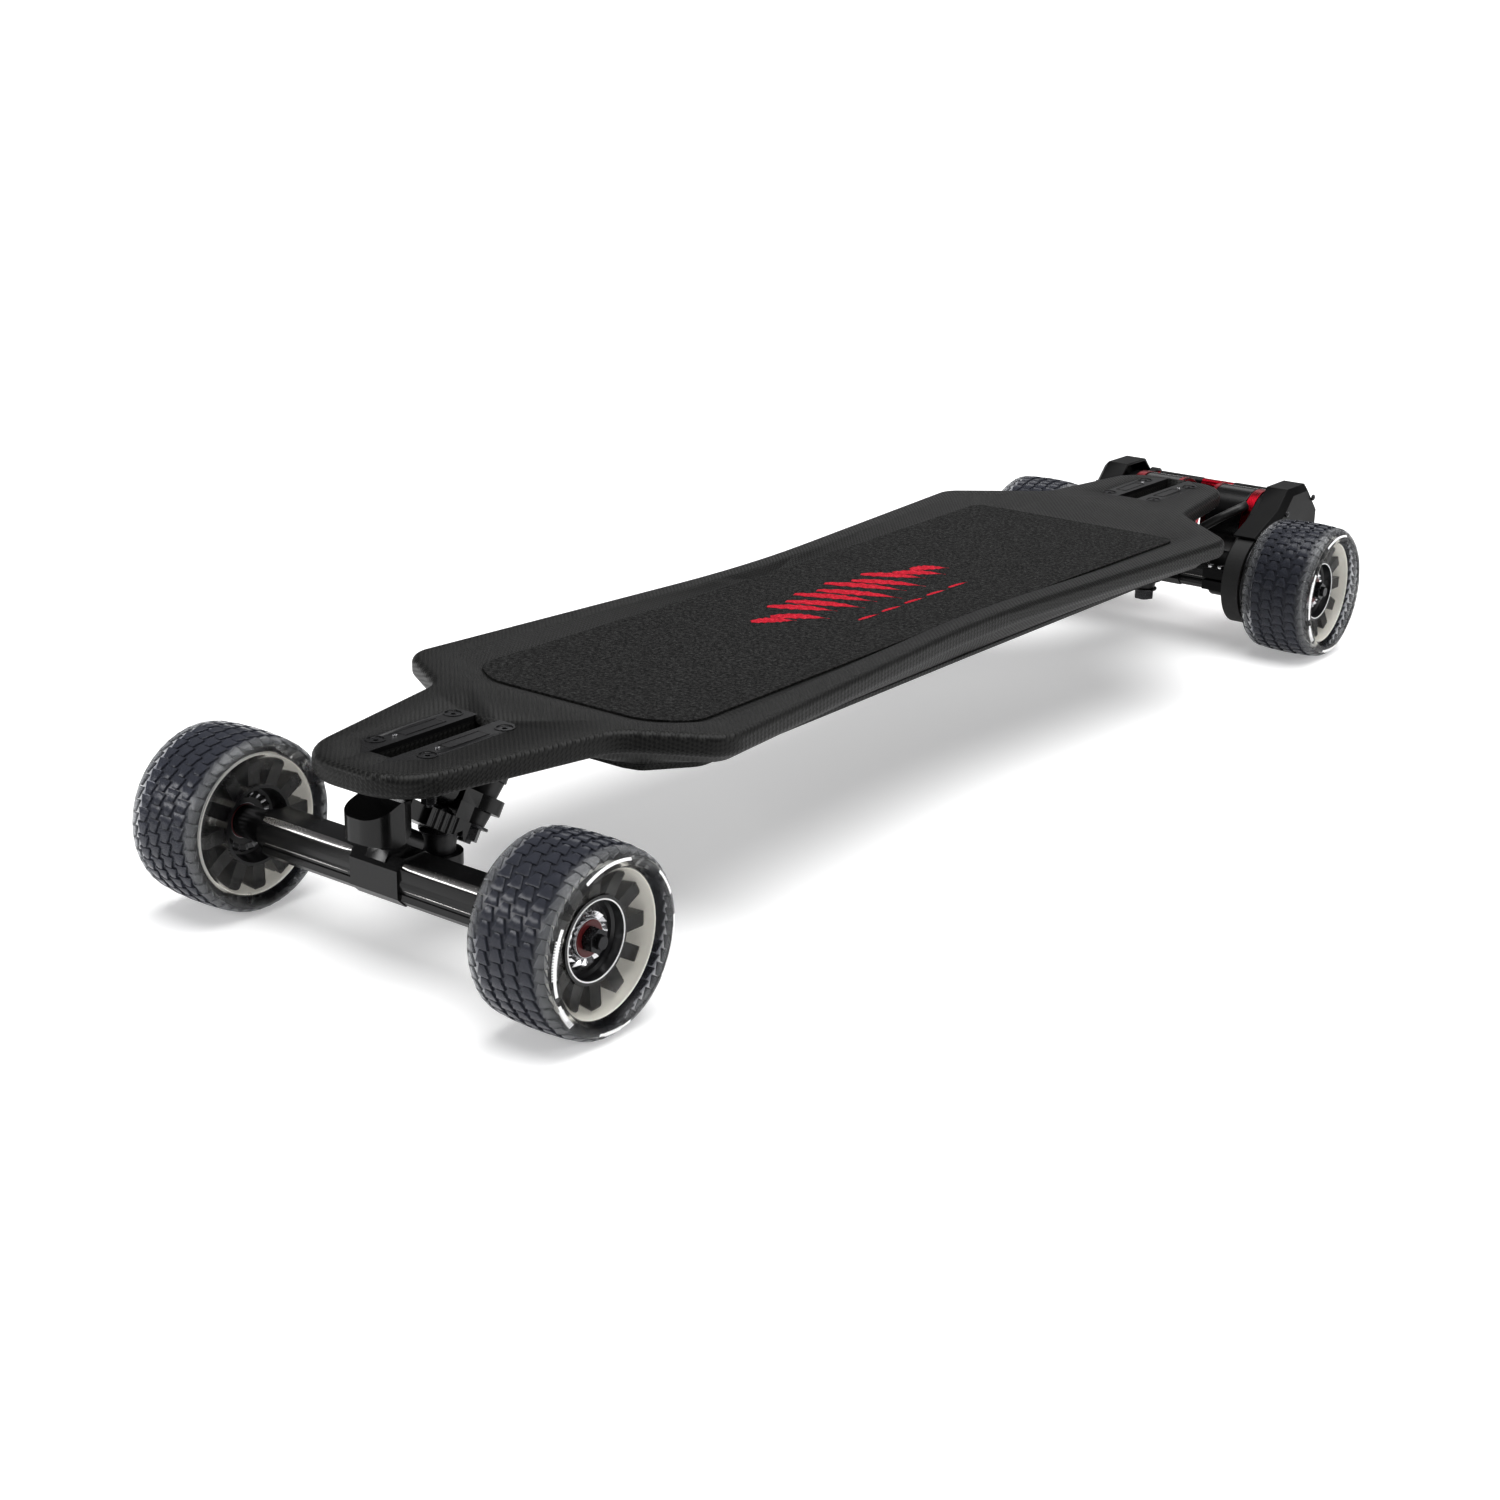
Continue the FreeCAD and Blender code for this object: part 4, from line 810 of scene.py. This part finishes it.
small_piece("grip_print", print_bm, "deck", "grip_red")
print("strokes:", len(STROKES))

# %% [markdown]
# ## Drive details
# The motors carry a red ring at their inner ends too, with eight small hollow-headed screws. Bolts close
# the hanger clamps and hold the belt covers: small pieces, but they set the scale of everything round
# them. The rings and sleeves are spun profiles, because a turned part is made in the same way.

# %% Motor rings
MOTOR_Y = REAR_AXLE + 57.0 * MM
MOTOR_Z = 87.0 * MM
CAN_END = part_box("left_motor_can")[0].x
RING_SCREWS = 8
print("motor cans end at", round(CAN_END / MM, 1), "mm")


def motor_ring_bm(side):
    """The red ring at the inner end of a can, in row-frame place; side is 1 on the left."""
    x = CAN_END
    points = [(x - 0.4 * MM, 22.0 * MM), (x - 0.4 * MM, 29.6 * MM), (x + 1.0 * MM, 31.0 * MM),
              (x + 4.5 * MM, 31.0 * MM), (x + 4.5 * MM, 30.4 * MM), (x + 0.1 * MM, 22.0 * MM)]
    bm = bmesh.new()
    spin_profile(bm, [(side * px, r) for px, r in points], steps=96)
    for i in range(RING_SCREWS):
        screw = socket_screw_bm(2.0 * MM, 0.8 * MM, 1.2 * MM, 16)
        bmesh.ops.rotate(screw, cent=(0, 0, 0), matrix=Matrix.Rotation(-side * math.pi / 2, 3, "Y"),
                         verts=screw.verts)
        bmesh.ops.translate(screw, vec=(side * (x - 0.3 * MM), 0.0, 26.0 * MM), verts=screw.verts)
        turn = Matrix.Rotation(i * 2 * math.pi / RING_SCREWS, 3, "X")
        bmesh.ops.rotate(screw, cent=(0, 0, 0), matrix=turn, verts=screw.verts)
        append_bmesh(bm, screw)
    bmesh.ops.translate(bm, vec=(0.0, MOTOR_Y, MOTOR_Z), verts=bm.verts)
    return bm


# %% [markdown]
# ### Phase leads
# Two bundles of motor wire run from under the tail to the motors, past two steering pivots. A cable
# could be simulated, but it would have to be done again at every pose. The lead is in two halves that meet
# beside the yoke. Each half is a merged and smoothed copy of its CAD half with the cable finish, fixed
# where the CAD model puts it: it is joined to no body and doesn't bend.

# %% Phase leads
LEAD_SPANS = {
    "phase_leads_deck": ("deck", "rear_yoke", REAR_AXLE - 100.0 * MM, REAR_AXLE - 36.0 * MM),
    "phase_leads_motor": ("rear_yoke", "rear_hanger", REAR_AXLE - 2.0 * MM, REAR_AXLE + 28.0 * MM),
}
for node, (body, next_body, start_y, end_y) in LEAD_SPANS.items():
    lead = new_object(node + "_finished", merged_copy(node))
    shade(lead, 40.0)
    lead.data.materials.append(FINISHES["cable_jacket"])
    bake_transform(lead)
    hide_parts(node)
    print(node, "bends over", round((end_y - start_y) / MM), "mm")

# %% Sleeves on the tie bar
BAR_LOW, BAR_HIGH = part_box("tie_bar")
BAR_RADIUS = (BAR_HIGH.z - BAR_LOW.z) / 2
sleeves = bmesh.new()
for side in (1, -1):
    tube = [(CAN_END, BAR_RADIUS + 0.1 * MM), (CAN_END + 0.6 * MM, BAR_RADIUS + 0.5 * MM),
            (BAR_HIGH.x - 3.0 * MM, BAR_RADIUS + 0.5 * MM), (BAR_HIGH.x - 2.4 * MM, BAR_RADIUS + 0.1 * MM)]
    spin_profile(sleeves, [(side * x, r) for x, r in tube], steps=40)
bmesh.ops.translate(sleeves, vec=(0.0, (BAR_LOW.y + BAR_HIGH.y) / 2, (BAR_LOW.z + BAR_HIGH.z) / 2),
                    verts=sleeves.verts)
small_piece("tie_bar_sleeves", sleeves, "rear_hanger", "mount_black")
print("sleeves on a bar of", round(BAR_RADIUS * 2 / MM, 1), "mm")

# %% Clamp and cover bolts
COVER_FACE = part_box("belt_covers")[1].x
COVER_SCREWS = ((84.0, 112.0), (44.0, 60.0), (34.0, 106.0))
CLAMP_BOLTS = (52.0 * MM, 61.0 * MM)


def drive_bolts(kind):
    bm = bmesh.new()
    for side in (1, -1):
        if kind == "clamp":
            for x in CLAMP_BOLTS:
                bolt = socket_screw_bm(2.9 * MM, 3.0 * MM, 1.5 * MM)
                bmesh.ops.translate(bolt, vec=(side * x, REAR_AXLE - 21.0 * MM, AXLE_HEIGHT + 9.0 * MM),
                                    verts=bolt.verts)
                append_bmesh(bm, bolt)
        else:
            for back, z in COVER_SCREWS:
                bolt = socket_screw_bm(2.6 * MM, 1.6 * MM, 1.3 * MM)
                bmesh.ops.rotate(bolt, cent=(0, 0, 0), matrix=Matrix.Rotation(side * math.pi / 2, 3, "Y"),
                                 verts=bolt.verts)
                place = (side * (COVER_FACE - 0.1 * MM), REAR_AXLE + back * MM, z * MM)
                bmesh.ops.translate(bolt, vec=place, verts=bolt.verts)
                append_bmesh(bm, bolt)
    return bm


# %% Put the drive details on
small_piece("left_motor_inner_ring", motor_ring_bm(1), "left_motor_rotor", "red_anodised")
small_piece("right_motor_inner_ring", motor_ring_bm(-1), "right_motor_rotor", "red_anodised")
small_piece("clamp_bolts", drive_bolts("clamp"), "rear_hanger", "bright_steel")
small_piece("belt_cover_screws", drive_bolts("cover"), "rear_hanger", "black_screws")
print("cover screws a side:", len(COVER_SCREWS), "clamp bolts a side:", len(CLAMP_BOLTS))

# %% [markdown]
# ## Wheels
# One tyre is modelled about the X axis, with +X facing out, and then copied to the four hubs. Its body
# is a profile spun round the axle. The tread is about 250 wedge-shaped blocks in six staggered rings:
# a block is a small patch of the crown, extruded outwards and bevelled, and each ring is one block
# spun round with duplicates. Real blocks catch light on their edges, which bump mapping can't do.
# Inside the tyre are a core with twelve fingers, a pale liner and a dark ring. The last two stand in for
# the way light spreads in thick urethane, pale in the dish and dark behind the tread: a real wheel has
# neither.

# %% Tyre profile
RADIUS = 55.0 * MM
CORE_RADIUS = 25.0 * MM
CROWN_HALF = 23.5 * MM
CROWN_DROP = 1.2 * MM
SHOULDER_CENTRE = (22.7 * MM, 45.6 * MM)
SHOULDER_RADIUS = 8.2 * MM
SHOULDER_START = math.radians(84.2)
TREAD_EDGE = math.radians(33.0)
TREAD_DEPTH = 1.3 * MM
SHOULDER_LENGTH = (SHOULDER_START - TREAD_EDGE) * SHOULDER_RADIUS


def tread_point(station, sink=0.0):
    """(x, radius) on the tread, by the distance across it from its middle, sunk below the surface."""
    side = math.copysign(1.0, station)
    beyond = abs(station) - CROWN_HALF
    if beyond <= 0.0:
        return station, RADIUS - CROWN_DROP * (station / CROWN_HALF) ** 2 - sink
    angle = SHOULDER_START - beyond / SHOULDER_RADIUS
    reach = SHOULDER_RADIUS - sink
    return (side * (SHOULDER_CENTRE[0] + reach * math.cos(angle)),
            SHOULDER_CENTRE[1] + reach * math.sin(angle))


def bezier(start, control, end, steps):
    points = []
    for i in range(steps + 1):
        t = i / steps
        points.append(tuple(
            (1 - t) ** 2 * a + 2 * t * (1 - t) * b + t ** 2 * c for a, b, c in zip(start, control, end)
        ))
    return points


def shoulder_side(sign, steps=5):
    """The smooth ring between the tread and the side, from the tread's edge down."""
    points = []
    for i in range(steps + 1):
        angle = TREAD_EDGE * (1 - i / steps)
        points.append((sign * (SHOULDER_CENTRE[0] + SHOULDER_RADIUS * math.cos(angle)),
                       SHOULDER_CENTRE[1] + SHOULDER_RADIUS * math.sin(angle)))
    return points


def tyre_profile():
    half_tread = CROWN_HALF + SHOULDER_LENGTH
    floor = [tread_point(half_tread * (1 - i / 12), TREAD_DEPTH) for i in range(25)]
    outer_dish = bezier((16.0 * MM, CORE_RADIUS), (20.0 * MM, 38.0 * MM), (30.6 * MM, 44.6 * MM), 10)
    inner_dish = bezier((-30.6 * MM, 44.6 * MM), (-27.5 * MM, 41.0 * MM), (-25.5 * MM, 34.5 * MM), 6)
    points = outer_dish + shoulder_side(1)[::-1] + floor + shoulder_side(-1)
    return points + inner_dish + [(-25.0 * MM, 34.0 * MM), (-25.0 * MM, CORE_RADIUS)]


# %% Tread blocks
BLOCKS_AROUND = 42
ROOT = 0.4 * MM  # how far a block reaches below the groove's floor
RINGS = 6
GROOVE = 0.6 * MM
WEDGE = 2.8 * MM


def tread_ring(ring):
    """One ring of blocks: a patch of the crown is raised, bevelled and repeated round the tyre."""
    bm = bmesh.new()
    width = 2 * (CROWN_HALF + SHOULDER_LENGTH) / RINGS
    first = -CROWN_HALF - SHOULDER_LENGTH + ring * width
    pitch = 2 * math.pi / BLOCKS_AROUND
    gap = GROOVE / RADIUS
    stagger = pitch / 2 if ring % 2 else 0.0
    bmesh.ops.create_grid(bm, x_segments=2, y_segments=1, size=0.5)
    for vert in bm.verts:
        across, along = vert.co.x, vert.co.y
        narrow = WEDGE if along > 0 else 0.0
        station = first + width / 2 + across * (width - GROOVE - 2 * narrow)
        angle = stagger + along * (pitch - gap)
        x, r = tread_point(station, TREAD_DEPTH + ROOT)
        vert.co = (x, r * math.sin(angle), r * math.cos(angle))
    raised = bmesh.ops.extrude_face_region(bm, geom=bm.faces[:])
    tops = [g for g in raised["geom"] if isinstance(g, bmesh.types.BMVert)]
    lift = TREAD_DEPTH + ROOT
    for vert in tops:
        outward = Vector((0.0, vert.co.y, vert.co.z)).normalized()
        lean = max(0.0, abs(vert.co.x) - SHOULDER_CENTRE[0]) / SHOULDER_RADIUS
        side = Vector((math.copysign(lean, vert.co.x), 0, 0))
        vert.co += (outward * math.sqrt(max(0.0, 1 - lean * lean)) + side) * lift
    top_faces = [g for g in raised["geom"] if isinstance(g, bmesh.types.BMFace)]
    rim = [e for f in top_faces for e in f.edges if len([g for g in e.link_faces if g in top_faces]) == 1]
    bmesh.ops.bevel(bm, geom=list(set(rim)), offset=0.35 * MM, segments=1, profile=0.5,
                    affect="EDGES", material=-1)
    bmesh.ops.recalc_face_normals(bm, faces=bm.faces)
    repeat_round(bm, BLOCKS_AROUND)
    return bm


def tyre_bmesh():
    bm = bmesh.new()
    spin_profile(bm, tyre_profile())
    for ring in range(RINGS):
        append_bmesh(bm, tread_ring(ring))
    return bm


print("tread blocks:", BLOCKS_AROUND * RINGS)

# %% Wheel core
FINGERS = 12
HUB_BORE = 22.5 * MM
FINGER_SIZE = (37.5 * MM, 9.0 * MM, 19.0 * MM)
FINGER_MIDDLE = (-3.25 * MM, 0.0, 33.0 * MM)
FINGER_ROUND = 3.6 * MM


def core_profile():
    """The spool between bearings and tyre, open on both sides down to the bearing seats."""
    seat, bearing = 11.05 * MM, 12.3 * MM
    outer, inner = 17.0 * MM, -25.0 * MM
    return [(inner, HUB_BORE + 0.5 * MM), (-14.0 * MM, HUB_BORE - 2.0 * MM), (-13.0 * MM, 16.0 * MM),
            (-bearing, 14.5 * MM), (-bearing, seat), (-4.8 * MM, seat), (-4.8 * MM, 9.0 * MM),
            (4.8 * MM, 9.0 * MM), (4.8 * MM, seat), (9.0 * MM, seat), (9.0 * MM, HUB_BORE - 1.5 * MM),
            (10.5 * MM, HUB_BORE), (outer, HUB_BORE + 0.4 * MM), (outer, CORE_RADIUS), (inner, CORE_RADIUS)]


def core_bmesh():
    bm = bmesh.new()
    spin_profile(bm, core_profile(), steps=72)
    finger = bmesh.new()
    bmesh.ops.create_cube(finger, size=1.0)
    bmesh.ops.scale(finger, vec=FINGER_SIZE, verts=finger.verts)
    bmesh.ops.translate(finger, vec=FINGER_MIDDLE, verts=finger.verts)
    tips = [e for e in finger.edges if min(v.co.z for v in e.verts) > 30 * MM]
    bmesh.ops.bevel(finger, geom=tips, offset=FINGER_ROUND, segments=4, profile=0.5, affect="EDGES",
                    material=-1)
    repeat_round(finger, FINGERS)
    append_bmesh(bm, finger)
    return bm


print("core fingers:", FINGERS)

# %% Hub trim: bright seat, light rim and red bearing shield


def notched_ring(x, inner, outer, teeth):
    """A cone of bright facets round a bearing: alternate edges are pulled in and out."""
    bm = bmesh.new()
    points = [(x, outer), (x + 2.2 * MM, (inner + outer) / 2), (x + 0.6 * MM, inner), (x - 0.4 * MM, inner),
              (x - 0.4 * MM, outer)]
    spin_profile(bm, points, steps=teeth)
    for vert in bm.verts:
        turn = round(math.atan2(vert.co.y, vert.co.z) / (2 * math.pi) * teeth)
        if vert.co.x > x + 0.5 * MM:
            vert.co.x += (0.9 * MM if turn % 2 else -0.4 * MM)
    return bm


def plain_ring(points, steps=72):
    bm = bmesh.new()
    spin_profile(bm, points, steps)
    return bm


def light_rim_points(x, radius, thickness=0.45 * MM):
    return [(x + thickness * math.cos(a), radius + thickness * math.sin(a))
            for a in (math.pi / 4 * i for i in range(8))]


# %% Printed ring
PRINT_ARCS = ((15, 58), (70, 92), (128, 170), (196, 226), (248, 262), (300, 345))
ARC_RISE = (12.0, 24.0)
TICK_RISE = (8.0, 30.0)
PRINT_TICKS = ((96, 122, 14), (176, 192, 8), (228, 246, 10), (268, 294, 14))


def print_sector(bm, start, end, low, high):
    """A thin raised strip on the tyre's shoulder, from one angle to another, in degrees."""
    corners = []
    for angle, lift in ((low, 0.02), (high, 0.02), (high, 0.30), (low, 0.30)):
        reach = SHOULDER_RADIUS + lift * MM
        a = math.radians(angle)
        corners.append(bm.verts.new((SHOULDER_CENTRE[0] + reach * math.cos(a), 0.0,
                                     SHOULDER_CENTRE[1] + reach * math.sin(a))))
    face = bm.faces.new(corners)
    turn = Matrix.Rotation(math.radians(-start), 4, "X")
    bmesh.ops.transform(bm, matrix=turn, verts=corners)
    steps = max(1, round((end - start) / 4))
    bmesh.ops.spin(bm, geom=corners + list(face.edges) + [face], cent=(0, 0, 0), axis=(1, 0, 0),
                   dvec=(0, 0, 0), angle=math.radians(end - start), steps=steps, use_merge=False,
                   use_normal_flip=False, use_duplicate=False)


def print_bmesh():
    bm = bmesh.new()
    for start, end in PRINT_ARCS:
        print_sector(bm, start, end, *ARC_RISE)
    for start, end, count in PRINT_TICKS:
        width = (end - start) / count
        for i in range(count):
            first = start + i * width
            print_sector(bm, first, first + width * 0.55, *TICK_RISE)
    bmesh.ops.recalc_face_normals(bm, faces=bm.faces)
    return bm


# %% Liner and dark ring
# BAND: a dark ring behind the tread, painted shade with no part of the wheel under it.
BAND = [(20.5 * MM, 44.6 * MM), (14.0 * MM, 45.2 * MM), (-19.0 * MM, 45.2 * MM), (-22.5 * MM, 44.6 * MM),
        (-22.5 * MM, 44.9 * MM), (-19.0 * MM, 45.6 * MM), (14.0 * MM, 45.6 * MM), (20.5 * MM, 44.9 * MM)]
# LINER: a pale ring inside the tyre that glows, a painted glow for the light urethane scatters.
LINER = [(21.5 * MM, 43.6 * MM), (14.0 * MM, 44.6 * MM), (-19.0 * MM, 44.6 * MM), (-23.5 * MM, 43.6 * MM),
         (-23.0 * MM, 43.2 * MM), (-19.0 * MM, 44.2 * MM), (14.0 * MM, 44.2 * MM), (21.0 * MM, 43.2 * MM)]
print("liner width:", round((LINER[0][0] - LINER[3][0]) / MM, 1), "mm")

# %% Put the wheels on
MASTERS = {
    "tyre": tyre_bmesh(),
    "core": core_bmesh(),
    "seat": notched_ring(9.0 * MM, 11.4 * MM, 18.5 * MM, 36),
    "inner_seat": notched_ring(12.4 * MM, 14.6 * MM, 20.5 * MM, 36),
    "rim": plain_ring(light_rim_points(17.0 * MM, 22.9 * MM)),
    "shield": plain_ring([(12.05 * MM, 6.6 * MM), (12.5 * MM, 6.8 * MM), (12.5 * MM, 10.2 * MM),
                          (12.05 * MM, 10.6 * MM)]),
    "print": print_bmesh(),
    "band": plain_ring(BAND),
    "liner": plain_ring(LINER),
}
for name, bm in MASTERS.items():
    mesh = bpy.data.meshes.new(name + "_master")
    bm.to_mesh(mesh)
    bm.free()
    MASTERS[name] = mesh


def wheel_piece(master, end, side, kind, finish, mirrored=False, angle=30.0):
    """A copy of a wheel master at one hub. The right wheels are turned half round to face out."""
    low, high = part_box(f"{end}_{side}_tyre")
    middle = (low + high) / 2
    bm = bmesh.new()
    bm.from_mesh(MASTERS[master])
    turned = (side == "right") != mirrored
    if turned:
        bmesh.ops.rotate(bm, cent=(0, 0, 0), matrix=Matrix.Rotation(math.pi, 3, "Z"), verts=bm.verts)
    bmesh.ops.translate(bm, vec=middle, verts=bm.verts)
    piece = new_object(f"{end}_{side}_{kind}", bm)
    hub_place = piece.data.attributes.new(HUB_ATTRIBUTE, "FLOAT_VECTOR", "POINT")
    for item, vert in zip(hub_place.data, MASTERS[master].vertices):
        item.vector = vert.co
    if angle:
        shade(piece, angle)
    piece.data.materials.append(FINISHES[finish])
    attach(piece, f"{end}_{side}_wheel")
    return piece


for end in ("front", "rear"):
    for side in ("left", "right"):
        tyre = wheel_piece("tyre", end, side, "treaded_tyre", "smoky_urethane")
        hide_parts(f"{end}_{side}_tyre")
        core = wheel_piece("core", end, side, "finger_core", "core_plastic")
        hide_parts(f"{end}_{side}_wheel_core")
        wheel_piece("seat", end, side, "bearing_seat", "bright_steel", angle=0.0)
        wheel_piece("rim", end, side, "hub_rim", "print_white")
        wheel_piece("print", end, side, "printed_ring", "print_white", angle=0.0)
        # The liner glows: a painted glow for the light that urethane scatters in the dish.
        wheel_piece("liner", end, side, "glow_liner", "painted_glow_urethane")
        # A dark sheet of painted shade behind the tread.
        wheel_piece("band", end, side, "painted_shade_band", "core_plastic")
        wheel_piece("shield", end, side, "bearing_shield", "bearing_red")
        wheel_piece("shield", end, side, "inner_bearing_shield", "bearing_red", mirrored=True)
        if end == "front":
            wheel_piece("inner_seat", end, side, "inner_seat", "bright_steel", mirrored=True, angle=0.0)
print("tyre faces:", len(MASTERS["tyre"].polygons))
